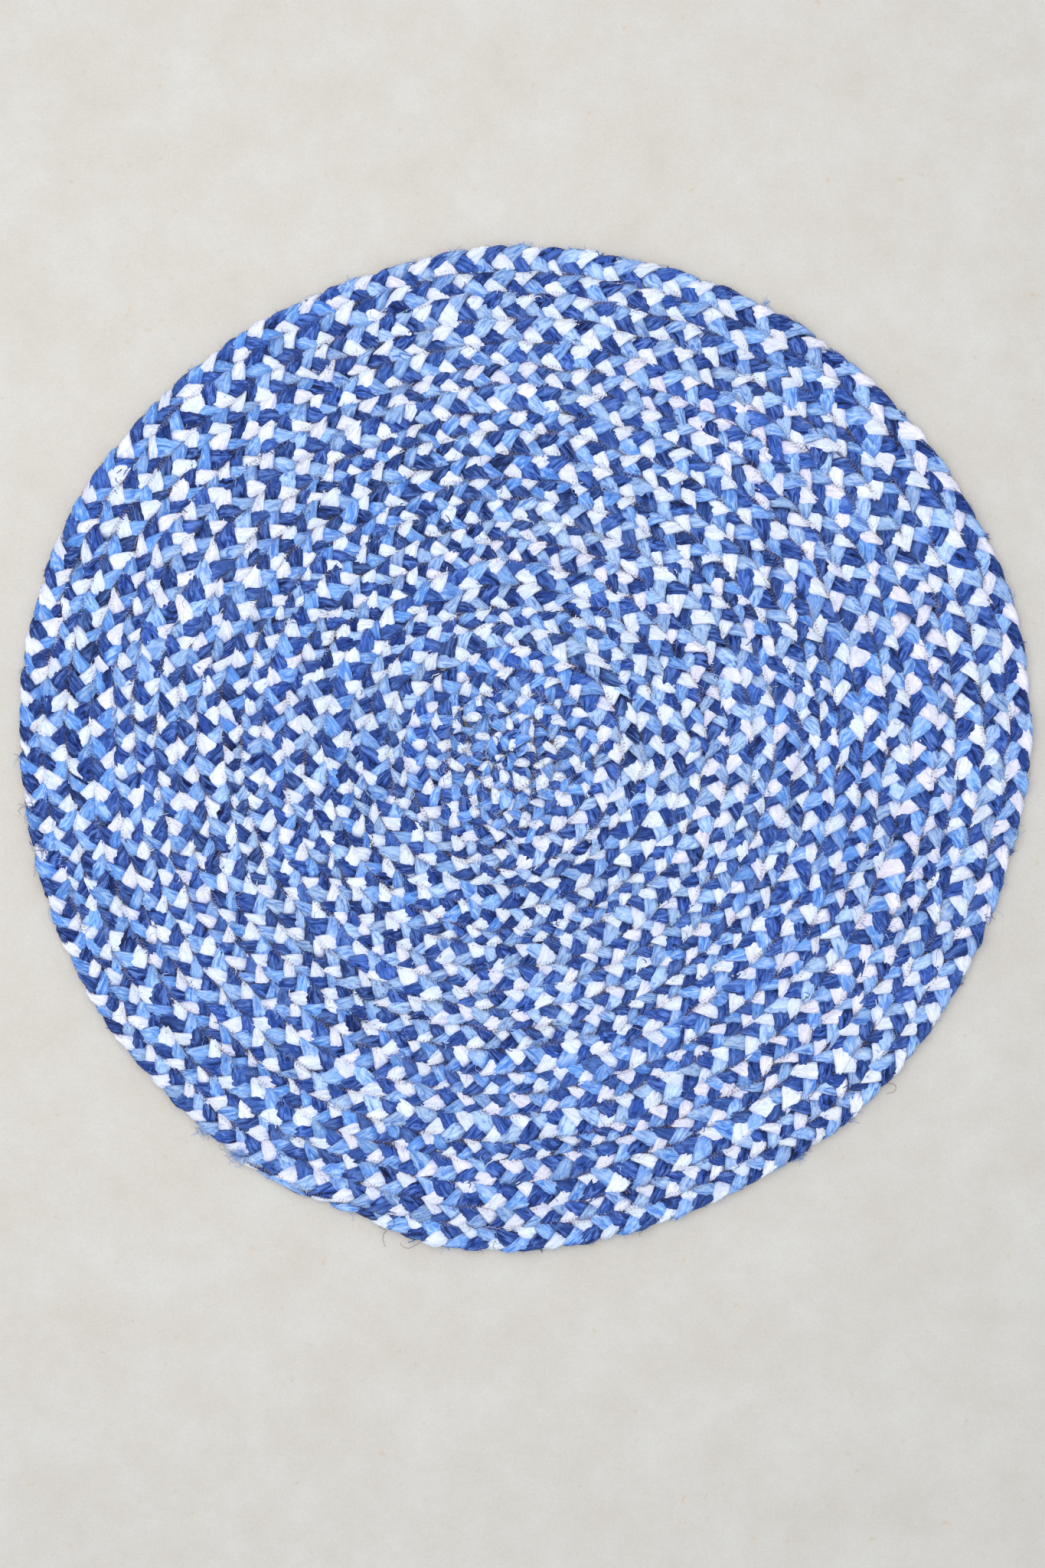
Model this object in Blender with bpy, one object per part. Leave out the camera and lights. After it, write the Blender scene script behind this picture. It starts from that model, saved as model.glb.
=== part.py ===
"""Round braided rug: one long three-strand plait wound flat into a coil and sewn turn to turn.

The rug is a single solid. Its underside is flat on the floor at z = 0, its outline is the
uneven round of a hand-wound coil, and its top face is raised into one rib for each turn of
the plait, with a sewn groove between one turn and the next. The plait starts in the middle,
winds outwards clockwise as seen from above, and ends at the rim in a short narrowing tail.

Metres, +Z up. The origin is on the floor, under the middle of the rug's own box.
"""

import math

import bpy
import bmesh
import numpy as np

# Driving dimensions of the coil
TURNS = 23.5                # seams from the hub to the rim, counted along one line
HUB_RADIUS = 0.006          # the folded start of the plait, inside the first seam
INNER_PITCH = 0.0180        # width of the plait where the coil starts
OUTER_PITCH = 0.0212        # width of the plait at the rim
PITCH_GROWTH = 1.6          # how late in the coil the plait widens: 1 is steadily
TAIL_BEARING = 124.0        # degrees, where the plait ends on the rim

# Heights of the top face above the floor
CREST_HEIGHT = 0.0100
SHOULDER_HEIGHT = 0.0092
SEAM_HEIGHT = 0.0065
HUB_HEIGHT = 0.0095

# Hand-made unevenness of the seams inside the rim: waves for each turn, swing, phase
SEAM_WAVES = (
    {"per_turn": 1.37, "swing": 0.00080, "phase": 0.4},
    {"per_turn": 2.81, "swing": 0.00050, "phase": 2.1},
    {"per_turn": 5.23, "swing": 0.00035, "phase": 4.0},
)
WAVE_FADE_TURNS = 3.0       # the waves grow over the first turns and die out over the last

# Reach of the rim from the coil's centre, in metres, every 15 degrees of bearing.
# Bearings run clockwise from +X, as the plait does.
REACH_STEP = 15.0
REACH = (
    0.478, 0.466, 0.458, 0.454, 0.446, 0.444,   # 0 to 75
    0.445, 0.446, 0.453, 0.450, 0.451, 0.452,   # 90 to 165
    0.454, 0.460, 0.464, 0.461, 0.460, 0.464,   # 180 to 255
    0.470, 0.471, 0.477, 0.478, 0.481, 0.484,   # 270 to 345
)

# The tail: how much of its full width and height the plait keeps near its end
TAIL = (
    {"before_end": 26.0, "width": 1.00, "height": 1.00},
    {"before_end": 22.0, "width": 0.80, "height": 0.96},
    {"before_end": 16.0, "width": 0.36, "height": 0.86},
    {"before_end": 10.0, "width": 0.26, "height": 0.78},
    {"before_end": 0.0, "width": 0.20, "height": 0.70},
)

# Section of one turn: share of its width from the inner seam, height above the floor
RIB = (
    {"across": 0.00, "height": SEAM_HEIGHT},
    {"across": 0.20, "height": SHOULDER_HEIGHT},
    {"across": 0.50, "height": CREST_HEIGHT},
    {"across": 0.80, "height": SHOULDER_HEIGHT},
)
# The rim's own section carries on from the rib's outer shoulder down to the floor
RIM = (
    {"across": 0.93, "height": 0.0070},
    {"across": 1.00, "height": 0.0046},
    {"across": 0.97, "height": 0.0017},
    {"across": 0.87, "height": 0.0},
)

STATION_SPACING = 0.028     # along the plait, between two sections
FEWEST_STATIONS = 8         # in half a turn, at the hub

RUG_COLOUR = (0.246, 0.352, 0.631, 1.0)     # white, light and dark blue seen together
RUG_ROUGHNESS = 0.92


def bearing_at(turn):
    """Bearing in degrees of the section that lies `turn` turns along the plait."""
    return TAIL_BEARING + 360.0 * (turn - (TURNS - 1.0))


def reach_at(bearing):
    """Rim's reach at a bearing: a smooth closed curve through the REACH table."""
    table = np.asarray(REACH)
    place = np.mod(bearing, 360.0) / REACH_STEP
    row = np.floor(place).astype(int)
    part = place - row
    count = len(table)
    before = table[(row - 1) % count]
    start = table[row % count]
    end = table[(row + 1) % count]
    after = table[(row + 2) % count]
    slope = 0.5 * (end - before)
    bend = before - 2.5 * start + 2.0 * end - 0.5 * after
    twist = 1.5 * (start - end) + 0.5 * (after - before)
    return start + slope * part + bend * part**2 + twist * part**3


def coil_distance(turn):
    """Distance of a seam from the centre on an even round coil."""
    share = turn / TURNS
    widening = (OUTER_PITCH - INNER_PITCH) * TURNS / (PITCH_GROWTH + 1.0)
    return HUB_RADIUS + INNER_PITCH * turn + widening * share**(PITCH_GROWTH + 1.0)


def seam_radius(turn):
    """Distance of a seam from the centre, at the bearing where `turn` turns have passed."""
    turn = np.asarray(turn, dtype=float)
    even = reach_at(bearing_at(turn)) * coil_distance(turn) / coil_distance(TURNS)
    fade_in = np.clip(turn / WAVE_FADE_TURNS, 0.0, 1.0)
    fade_out = np.clip(TURNS - 1.0 - turn, 0.0, 1.0)
    waves = np.zeros_like(turn)
    for wave in SEAM_WAVES:
        waves += wave["swing"] * np.sin(math.tau * wave["per_turn"] * turn + wave["phase"])
    return even + waves * fade_in * fade_out


def tail_share(turn, column):
    """Share of the plait's width or height that is left at a section."""
    before_end = 360.0 * (TURNS - 1.0 - turn)
    rows = sorted(TAIL, key=lambda row: row["before_end"])
    return np.interp(before_end, [row["before_end"] for row in rows], [row[column] for row in rows])


def station_turns():
    """Sections along the plait, evenly spaced in each half turn, as turns from its start."""
    turns = [0.0]
    for half in range(int(round(2 * (TURNS - 1.0)))):
        start = 0.5 * half
        length = math.pi * coil_distance(start + 0.75)
        count = max(FEWEST_STATIONS, round(length / STATION_SPACING))
        turns.extend(start + 0.5 * (step + 1) / count for step in range(count))
    return np.array(turns)


def line_points(turns, across, height):
    """One line along the plait: the points at a share of its width and at a height."""
    inner = seam_radius(turns)
    outer = seam_radius(turns + 1.0)
    radius = inner + across * tail_share(turns, "width") * (outer - inner)
    if across > 0.0:
        height = height * tail_share(turns, "height")
    angle = np.radians(bearing_at(turns))
    x = radius * np.cos(angle)
    y = -radius * np.sin(angle)
    return np.column_stack((x, y, np.broadcast_to(height, x.shape)))


class SolidBuilder:
    """Collects points and faces of one closed solid."""

    def __init__(self):
        self.points = []
        self.faces = []

    def add_line(self, points):
        """Adds a line of points and returns their numbers."""
        first = len(self.points)
        self.points.extend(map(tuple, points))
        return list(range(first, len(self.points)))

    def strip(self, inner, outer):
        """Joins two lines that have the same number of points."""
        for step in range(len(inner) - 1):
            self.faces.append((inner[step], inner[step + 1], outer[step + 1], outer[step]))

    def zip_lines(self, inner, inner_turns, outer, outer_turns):
        """Joins two lines whose points are spaced differently, always to the nearer next one."""
        i = 0
        j = 0
        while i < len(inner) - 1 or j < len(outer) - 1:
            inner_left = i < len(inner) - 1
            outer_left = j < len(outer) - 1
            if outer_left and (not inner_left or outer_turns[j + 1] < inner_turns[i + 1]):
                self.faces.append((inner[i], outer[j + 1], outer[j]))
                j += 1
            else:
                self.faces.append((inner[i], inner[i + 1], outer[j]))
                i += 1

    def fan(self, centre, loop):
        """Joins a closed loop of points to one point inside it."""
        for here, after in zip(loop, loop[1:] + loop[:1]):
            self.faces.append((centre, here, after))


def build_rug_solid():
    """Points and faces of the coiled rug, about its coil's centre."""
    solid = SolidBuilder()
    turns = station_turns()
    first_full = int(np.argmin(abs(turns - 1.0)))
    rim_start = int(np.argmin(abs(turns - (TURNS - 2.0))))

    # the rib of the plait, from its start to its tail
    ribs = [solid.add_line(line_points(turns, row["across"], row["height"])) for row in RIB]
    for inner, outer in zip(ribs, ribs[1:]):
        solid.strip(inner, outer)
    seam = ribs[0]
    shoulder = ribs[-1]

    # the outer flank of each turn falls to the seam of the turn outside it
    solid.zip_lines(
        shoulder[:rim_start + 1], turns[:rim_start + 1],
        seam[first_full:], turns[first_full:] - 1.0,
    )

    # the rim closes the last turn down to the floor
    rim_turns = turns[rim_start:]
    rims = [shoulder[rim_start:]]
    rims += [solid.add_line(line_points(rim_turns, row["across"], row["height"])) for row in RIM]
    for inner, outer in zip(rims, rims[1:]):
        solid.strip(inner, outer)

    # the tail's end face, a step in the rim at the bearing where the plait ends
    tail_end = [line[-1] for line in ribs] + [line[-1] for line in rims[1:]]
    rim_begin = [line[0] for line in rims]
    solid.faces.append(tuple(tail_end + rim_begin[::-1]))

    # the hub: the folded start of the plait, inside the first turn
    hub_loop = seam[:first_full + 1] + [line[0] for line in ribs[:0:-1]]
    hub_angle = math.radians(bearing_at(0.75))
    hub_shift = 0.5 * HUB_RADIUS
    hub = (hub_shift * math.cos(hub_angle), -hub_shift * math.sin(hub_angle), HUB_HEIGHT)
    solid.fan(solid.add_line([hub])[0], hub_loop)

    # the flat underside
    solid.fan(solid.add_line([(0.0, 0.0, 0.0)])[0], rims[-1][::-1])
    return np.array(solid.points), solid.faces


def remove_scene_objects():
    for obj in list(bpy.data.objects):
        bpy.data.objects.remove(obj, do_unlink=True)


def cotton_material():
    """Cotton rags in white, light blue and dark blue, at the colour they have together."""
    material = bpy.data.materials.new("plaited_cotton_rags")
    material.use_nodes = True
    shader = material.node_tree.nodes["Principled BSDF"]
    shader.inputs["Base Color"].default_value = RUG_COLOUR
    shader.inputs["Roughness"].default_value = RUG_ROUGHNESS
    shader.inputs["Metallic"].default_value = 0.0
    return material


def make_rug():
    points, faces = build_rug_solid()
    middle = 0.5 * (points.min(axis=0) + points.max(axis=0))
    points[:, :2] -= middle[:2]

    mesh = bpy.data.meshes.new("rug")
    mesh.from_pydata(points.tolist(), [], faces)
    shell = bmesh.new()
    shell.from_mesh(mesh)
    bmesh.ops.triangulate(shell, faces=shell.faces)
    bmesh.ops.recalc_face_normals(shell, faces=shell.faces)
    shell.to_mesh(mesh)
    shell.free()
    mesh.materials.append(cotton_material())

    rug = bpy.data.objects.new("rug", mesh)
    bpy.context.scene.collection.objects.link(rug)
    return rug


def main():
    remove_scene_objects()
    make_rug()


if __name__ == "__main__":
    main()
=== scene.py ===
"""Looks of a round braided rug: three cotton rag strands, their sewing, and the stage.

Laid out as a Blender add-on: property groups hold the sizes and colours, one operator makes
each group of pieces, a panel lists them, and main() runs them in order. Metres, +Z up.
"""

import math

import bpy
import numpy as np
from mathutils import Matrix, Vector


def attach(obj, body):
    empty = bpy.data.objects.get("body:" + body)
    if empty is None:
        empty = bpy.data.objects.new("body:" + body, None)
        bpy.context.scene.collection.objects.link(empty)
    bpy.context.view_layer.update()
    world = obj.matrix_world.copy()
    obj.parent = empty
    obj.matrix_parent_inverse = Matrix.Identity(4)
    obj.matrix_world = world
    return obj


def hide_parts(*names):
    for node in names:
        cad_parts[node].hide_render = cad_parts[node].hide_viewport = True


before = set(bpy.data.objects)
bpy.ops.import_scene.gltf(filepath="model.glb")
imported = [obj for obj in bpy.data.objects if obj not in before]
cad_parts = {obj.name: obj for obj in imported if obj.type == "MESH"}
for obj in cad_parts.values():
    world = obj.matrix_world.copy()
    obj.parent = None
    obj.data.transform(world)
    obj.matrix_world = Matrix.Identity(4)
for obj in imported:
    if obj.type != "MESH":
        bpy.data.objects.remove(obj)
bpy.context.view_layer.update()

bl_info = {
    "name": "Braided rug",
    "version": (1, 0, 0),
    "blender": (4, 5, 0),
    "location": "View3D > Sidebar > Rug",
    "description": "Builds a round rug of plaited cotton rags, coiled and zigzag sewn",
    "category": "Add Mesh",
}

PHOTO_WIDTH_PX = 1365
PHOTO_HEIGHT_PX = 2048
METRES_PER_PX = 0.0006885       # at the rug
RUG_MIDDLE_PX = (685.5, 976.5)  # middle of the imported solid's box in the photograph
SENSOR_WIDTH = 36.0             # millimetres, over the photograph's longer side

# Reach of the cloth's rim from the coil's centre, in metres, every 15 degrees clockwise from +X
REACH_STEP = 15.0
REACH = (
    0.4775, 0.4655, 0.4595, 0.4535, 0.4460, 0.4435,     # 0 to 75
    0.4450, 0.4450, 0.4510, 0.4490, 0.4495, 0.4480,     # 90 to 165
    0.4510, 0.4575, 0.4610, 0.4600, 0.4595, 0.4620,     # 180 to 255
    0.4685, 0.4705, 0.4765, 0.4795, 0.4815, 0.4830,     # 270 to 345
)
COIL_CENTRE = (-0.01721, -0.00710, 0.0)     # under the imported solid's hub, from its box's middle
# Hand-made unevenness of the seams: waves for each turn, swing, phase
SEAM_WAVES = (
    {"per_turn": 1.37, "swing": 0.00080, "phase": 0.4},
    {"per_turn": 2.81, "swing": 0.00050, "phase": 2.1},
    {"per_turn": 5.23, "swing": 0.00035, "phase": 4.0},
)
WAVE_FADE_TURNS = 3.0       # first turns over which the waves grow
HUB_STRAY_FROM = 0.5        # turns: seams stray from here on
RIM_STRAY = 0.3             # share of that stray which the rim keeps
RIM_STRAY_FADE = 3.0        # the rest goes over one part in 3 of the last turn
COIL_SAMPLES = 100001       # places at which the coil is worked out
PLAIT_SAMPLES = 60001       # and its crossings
HUB_CORE = 0.003            # metres: nearer to the coil's centre no place has a bearing of its own
FURTHEST_SHIFT = 0.12       # turns, from a station to a point of its section
NARROWEST_ROW = 0.004       # metres, in the folded start of the plait
LEAST_REACH = 0.005         # metres from the centre to the middle of a row, for its bend

# The hub: turns over which the plait is tighter, wider, less even, and a colour folded under
HUB_TURNS = {"tight": 4.5, "wide": 4.0, "uneven": 3.5, "hidden": 2.4}
HUB_WIDER = 0.14            # share by which a strand is wider there
HUB_LESS_EVEN = 0.8         # share by which its lobes differ more
TUCKED_TURNS = 0.9          # the plait's start, folded into the hub inside the first seam
# Crossings: how much their length wanders and over how many metres, and the narrowest pitch
CROSSING_STRAY = {"swing": 0.07, "cell": 0.30, "least_pitch": 0.9}

# The tail: share of the plait's full width and height, by degrees before its end
TAIL = (
    {"before_end": 0.0, "width": 0.20, "height": 0.70},
    {"before_end": 10.0, "width": 0.26, "height": 0.78},
    {"before_end": 16.0, "width": 0.36, "height": 0.86},
    {"before_end": 22.0, "width": 0.80, "height": 0.96},
    {"before_end": 26.0, "width": 1.00, "height": 1.00},
)
TAIL_TURNS = 0.05           # over this last part of a turn the crossings are longer
TAIL_SINK = 0.6             # how much lower a strand lies where it is tucked under the row inside
TAIL_SINK_REACH = 0.003     # metres from the seam over which it sinks
TAIL_TUCK = 3.0             # a place is tucked in full once a third of its width is lost
# The last strip of the tail: degrees that it covers and that it stops before the end, metres
TAIL_END = {
    "strand": "light_blue", "seed": 50, "from_end": 6.6, "clear": 3.0, "half_width": 0.0048,
    "half_height": 0.0036, "rise": 0.0067, "fall": 0.0022, "past_rim": 0.0002,
    "marks": (0.45, 0.8, 0.1), "stations": 30,
}
# Its swelling: first angle and way of a sine, in half turns, and the sine's power; and its pleats
TAIL_SWELL = {"start": 0.02, "way": 0.94, "power": 0.7}
TAIL_PLEATS = {"swing": 0.10, "along": 4.0, "around": 7}

INNER_SHARE = 0.6           # of the crossings that a strand's inner piece holds

# How the strands lie pressed together, in metres
TOP_HEIGHT = 0.0101
SEAM_OVERLAP = 0.0028       # how far a turn is pressed over the next one
RIM_OVERLAP = 0.0022        # and past the rim's own line
SEAM_EASE = 0.0018          # over this last part of its reach a lobe is squeezed at a seam
RIM_EASE = 0.0020           # and over this much more at the rim
MOST_EASE = 0.3             # but over no more than this share of its reach
TOP_EASE = 0.0016           # over this height a lobe is pressed flat on top
UNDER_EASE = 0.0012         # and on its underside
RIM_SHRINK = 0.13           # how much less far a lobe goes to the rim than to a seam
RIM_SHRINK_STRAY = 0.06     # how much that differs by chance
RIM_BLEND = 30.0            # the rim starts over one part in 30 of a turn
FLAT_FROM = 0.7             # share of its way to the side from which a strand turns back
SIDE_THICKER = 0.25         # how much thicker a strand is where it folds over at a side
SQUARED = 1.6               # how suddenly a strand dives: the sine's factor before it is capped
CROWDING = 0.40             # radians by which a section's points draw together on its top
STRIP_GIRTH = 0.026         # cloth round a strand
STRIP_LENGTHS = (0.4, 1.6)  # shortest and longest strip, against the usual length
MOST_STRIPS = 400           # enough of them for one strand
MARKS_SEED = 1000           # added to a strand's own seed
HOLLOW_DEPTH = 0.003        # a place this far under the cloth about it is fully shaded
# Pleats along a strand, and how one lobe overlaps the next turn more than another
PLEATS = {"swing": 0.00008, "per_crossing": 5.0, "around": 9}
OVERLAP_STRAY = {"swing": 0.7, "per_crossing": 2.6, "least": 0.3, "most": 2.2}
# How one lobe differs from the next: the swing of each measure, and its changes per crossing
LOBE_CHANCE = {
    "phase": {"swing": 0.24, "per_crossing": 1.3},
    "across": {"swing": 0.0008, "per_crossing": 2.1},
    "width": {"swing": 0.13, "per_crossing": 1.9},
    "thickness": {"swing": 0.12, "per_crossing": 2.2},
    "lift": {"swing": 0.12, "per_crossing": 2.3},
    "forward": {"swing": 0.0009, "per_crossing": 2.7},
    "height": {"swing": 0.0004, "per_crossing": 2.1},
    "tilt": {"swing": 0.09, "per_crossing": 1.7},
}

# The sewing
FAR_FROM_SEAM = 0.02        # metres, given to cloth that has no seam beside it
FIRST_SEWN_TURN = 0.45
TAN_STRETCHES = (           # turns sewn with the tan thread
    {"start": 0.0, "end": 2.2},
    {"start": 6.70, "end": 6.78},
    {"start": 22.42, "end": 22.60},
)
# The zigzag's corners: their stray off the line, the most that the thread lifts them to bridge a
# groove, and how deep they sit in the cloth. sunk: how far the thread is out of sight, in
# stretches of some stitches and from corner to corner.
CORNERS = {"stray": 0.00020, "most_lift": 0.0012, "seat": 0.0001}
SUNK = {"usual": 0.58, "swing": 0.9, "corners": 14.0, "own": 0.3, "most_own": 1.5}

# Frays of each strand. folds_from: only where the strand is this far towards a side of the
# row. turns_from: only after this turn. outwards: they point away from the rug's middle.
FRAYS = (
    {"name": "yarns", "count": 1150, "folds_from": 0.0, "turns_from": 0.0, "outwards": False,
     "length": 0.0085, "half_width": 0.00019, "half_height": 0.00015, "curl": 2.2, "points": 6},
    {"name": "shreds", "count": 1100, "folds_from": 0.55, "turns_from": 0.0, "outwards": False,
     "length": 0.0034, "half_width": 0.00065, "half_height": 0.00022, "curl": 0.6, "points": 4},
    {"name": "rim_yarns", "count": 120, "folds_from": 0.7, "turns_from": 21.5, "outwards": True,
     "length": 0.0055, "half_width": 0.00020, "half_height": 0.00015, "curl": 2.0, "points": 5},
)
FRAY_FAN = 0.7              # radians of chance in a fray's heading
HUB_FRAYS = {"length": 0.009, "half_width": 0.00018, "half_height": 0.00015, "curl": 2.0,
             "points": 6, "reach": 0.060}
WISP_YARNS = {"half_width": 0.00026, "half_height": 0.00015, "curl": 1.2, "points": 6, "fan": 0.5}
LOOSE_THREAD = {"half_width": 0.00022, "half_height": 0.00018, "points": 14}
YARN_LENGTHS = (4.0, 0.25)  # shape and scale of the curve of their lengths, whose mean is 1
YARN_TAPER = 0.5            # a yarn's far end against its root
YARN_WANDER = 1.2           # radians by which a yarn's heading wanders over its length
YARN_ARCH = (0.0002, 0.0012)    # least and most height of a yarn's arch
YARN_CLEAR = 0.0002         # a yarn's own middle above the cloth
YARN_DROOP = 1.2            # steepest fall of a yarn off the rim
DRAWN_FOR_EACH = 14         # places drawn for each fray wanted
SHOWN_DEPTH = 0.0008        # a place no deeper than this under the top shows from above

# Material's name, colour, and shade of the frays of each kind of cloth and thread
FRAY_COLOURS = {
    "dark_blue": ("dark_blue_cotton_yarn", "#5f80ca", "#2b3f80"),
    "light_blue": ("light_blue_cotton_yarn", "#b8d2fc", "#84a9ea"),
    "white": ("white_cotton_yarn", "#ffffff", "#dde4f8"),
}
THREAD_COLOURS = {
    "dark": ("dark_sewing_thread", "#333c5e", "#1c2238"),
    "light": ("white_sewing_thread", "#f2f5ff", "#c9d2ee"),
}
HUB_COLOURS = {
    "light_blue": ("faded_light_blue_yarn", "#c4d8fa", "#93b4ee"),
    "tan": ("tan_sewing_thread", "#b39a86", "#7d6c66"),
    "white": ("bleached_cotton_yarn", "#ffffff", "#dfe4f6"),
}
# Bunches of frayed yarns at the rim, as the photograph shows them, the first at the tail's end
WISP_COLUMNS = ("at_px", "heading", "length", "count", "spread")
WISPS = {
    "light_blue": (
        ((316, 1508), 190, 0.0060, 120, 0.0036),
        ((268, 1474), 215, 0.0050, 40, 0.0026),
        ((1046, 1508), -55, 0.0042, 20, 0.0022),
        ((1000, 400), 60, 0.0036, 20, 0.0020),
    ),
    "dark_blue": (
        ((46, 1056), 165, 0.0075, 26, 0.0018),
        ((34, 986), 200, 0.0045, 20, 0.0016),
        ((62, 1104), 175, 0.0080, 30, 0.0024),
        ((1316, 1112), 10, 0.0040, 22, 0.0016),
        ((1288, 1196), -40, 0.0040, 18, 0.0016),
        ((1250, 1280), -50, 0.0040, 20, 0.0018),
        ((1106, 1455), -50, 0.0050, 24, 0.0024),
        ((1176, 543), 45, 0.0042, 18, 0.0018),
        ((1286, 702), 20, 0.0036, 16, 0.0016),
    ),
}
# Loose dark sewing threads at the rim and bright ones on top, as the photograph shows them:
# start in pixels, heading in degrees, length in metres, curl in radians
LOOSE_THREADS = {
    "dark": (
        ((496, 1599), -60, 0.026, 3.6),
        ((548, 1606), -100, 0.034, -2.6),
        ((505, 1608), -120, 0.016, 4.0),
        ((647, 1618), -110, 0.016, 1.2),
        ((694, 1622), -85, 0.018, 3.4),
        ((847, 1595), -75, 0.010, 0.6),
        ((838, 1604), -60, 0.009, -0.8),
        ((875, 1584), -45, 0.008, 0.4),
        ((48, 1128), 215, 0.013, 0.7),
        ((1156, 1412), -20, 0.024, -2.4),
        ((1294, 1194), -60, 0.007, 0.5),
    ),
    "light": (
        ((1052, 786), -55, 0.022, -0.9),
        ((1072, 842), 205, 0.014, 0.9),
    ),
}
WINDOW = {"width": 2.4, "depth": 2.0, "at": (-0.40, 0.25, 1.9)}    # the soft light, in metres
FLOOR_GAP = 0.0004          # between the floor and the rug's underside

# The strands in the order in which they lie along the plait, going outwards
STRANDS = (
    {"name": "dark_blue", "order": 0, "slot": "dark_blue_rags", "seed": 11,
     "girth": 1.07, "hidden_at_hub": 0.45, "frayed": 1.0},
    {"name": "light_blue", "order": 1, "slot": "light_blue_rags", "seed": 23,
     "girth": 1.00, "hidden_at_hub": -0.35, "frayed": 1.2},
    {"name": "white", "order": 2, "slot": "white_rags", "seed": 37,
     "girth": 0.92, "hidden_at_hub": 0.35, "frayed": 0.5},
)

# The rags' colours. tints: the strips' own colours, by chance from 0 to 1, with the colour of the
# plait's settings at usual_at. deep and high: painted shade in a crease and painted highlight on
# its ridge, as strong as creased says. worn: where a strip has faded. The colour at the needle's
# holes, and its share: painted shade in a hole and in the puckers between holes, with a loop of
# thread that shows; on the dark blue cloth it is the light thread's loop. lightness: of a lobe, by
# chance. shade, as strong as shaded says: painted shade in a hollow between lobes. relief: how
# much the creases stand out.
RAG_LOOKS = {
    "dark_blue": {
        "tints": ((0.0, "#233e86"), (0.7, "#3a62bc"), (1.0, "#243a76")), "usual_at": 0.35,
        "deep": "#0c1640", "high": "#7a9fe8", "creased": 1.0, "worn": "#6488cc",
        "hole_shade_and_thread": "#9299c4", "hole_shade_and_thread_share": 0.50, "lightness": (0.80, 1.12),
        "shade": "#0c1640", "shaded": 0.65, "relief": 0.9},
    "light_blue": {
        "tints": ((0.0, "#619cf0"), (0.55, "#a5c9f9"), (0.8, "#bad9ff"), (1.0, "#6fa8f2")),
        "usual_at": 0.3,
        "deep": "#3f6cc8", "high": "#d4eaff", "creased": 0.85, "worn": "#c2d7fa",
        "hole_shade_and_thread": "#7484b4", "hole_shade_and_thread_share": 0.60, "lightness": (0.82, 1.10),
        "shade": "#2a4a96", "shaded": 0.6, "relief": 0.8},
    "white": {
        "tints": ((0.0, "#e3effe"), (0.8, "#edeefe"), (1.0, "#f4eef7")), "usual_at": 0.5,
        "deep": "#b4c6f8", "high": "#ffffff", "creased": 0.40, "worn": "#e9dfec",
        "hole_shade_and_thread": "#98808e", "hole_shade_and_thread_share": 0.90, "lightness": (0.93, 1.07),
        "shade": "#889ee4", "shaded": 0.5, "relief": 0.65},
}


# ---------------------------------------------------------------- settings

def hex_colour(text):
    """An sRGB hex value as a linear colour with alpha 1."""
    srgb = np.array([int(text[i:i + 2], 16) for i in (1, 3, 5)]) / 255.0
    linear = np.where(srgb <= 0.04045, srgb / 12.92, ((srgb + 0.055) / 1.055) ** 2.4)
    return (*linear.tolist(), 1.0)


def number_property(name, description, usual):
    """A plain number that a user can set: a share, a power or a count in turns or periods."""
    return bpy.props.FloatProperty(name=name, description=description, default=usual)


def length_property(name, description, usual):
    """A length that a user can set, in metres."""
    return bpy.props.FloatProperty(
        name=name, description=description, default=usual, subtype="DISTANCE")


def colour_property(name, description, usual):
    """A colour that a user can pick, with an sRGB hex value as its default."""
    return bpy.props.FloatVectorProperty(
        name=name, description=description, subtype="COLOR", size=4, min=0.0, max=1.0,
        default=hex_colour(usual))


class RugCoilSettings(bpy.types.PropertyGroup):
    """The coil that the plait is wound into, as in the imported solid."""

    turns: number_property("Turns", "Seams from the hub to the rim", 23.5)
    hub_radius: length_property("Hub radius", "Folded start of the plait", 0.006)
    inner_pitch: length_property("Inner pitch", "Width of the plait at the hub", 0.018)
    outer_pitch: length_property("Outer pitch", "Width of the plait at the rim", 0.0212)
    pitch_growth: number_property("Pitch growth", "How late in the coil the plait widens", 1.6)
    tail_bearing: number_property(
        "Tail bearing", "Where the plait ends, in degrees clockwise from +X", 124.0)
    wobble: length_property("Seam wobble", "How far a seam strays within a lobe's length", 0.0015)
    wobble_cell: length_property("Wobble length", "Length over which a seam strays", 0.017)
    drift: length_property("Seam drift", "How far a seam strays over several lobes", 0.0011)
    drift_cell: length_property("Drift length", "Length over which a seam drifts", 0.11)
    seed: bpy.props.IntProperty(name="Seed", description="Seed of the seams' stray", default=3)


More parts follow.
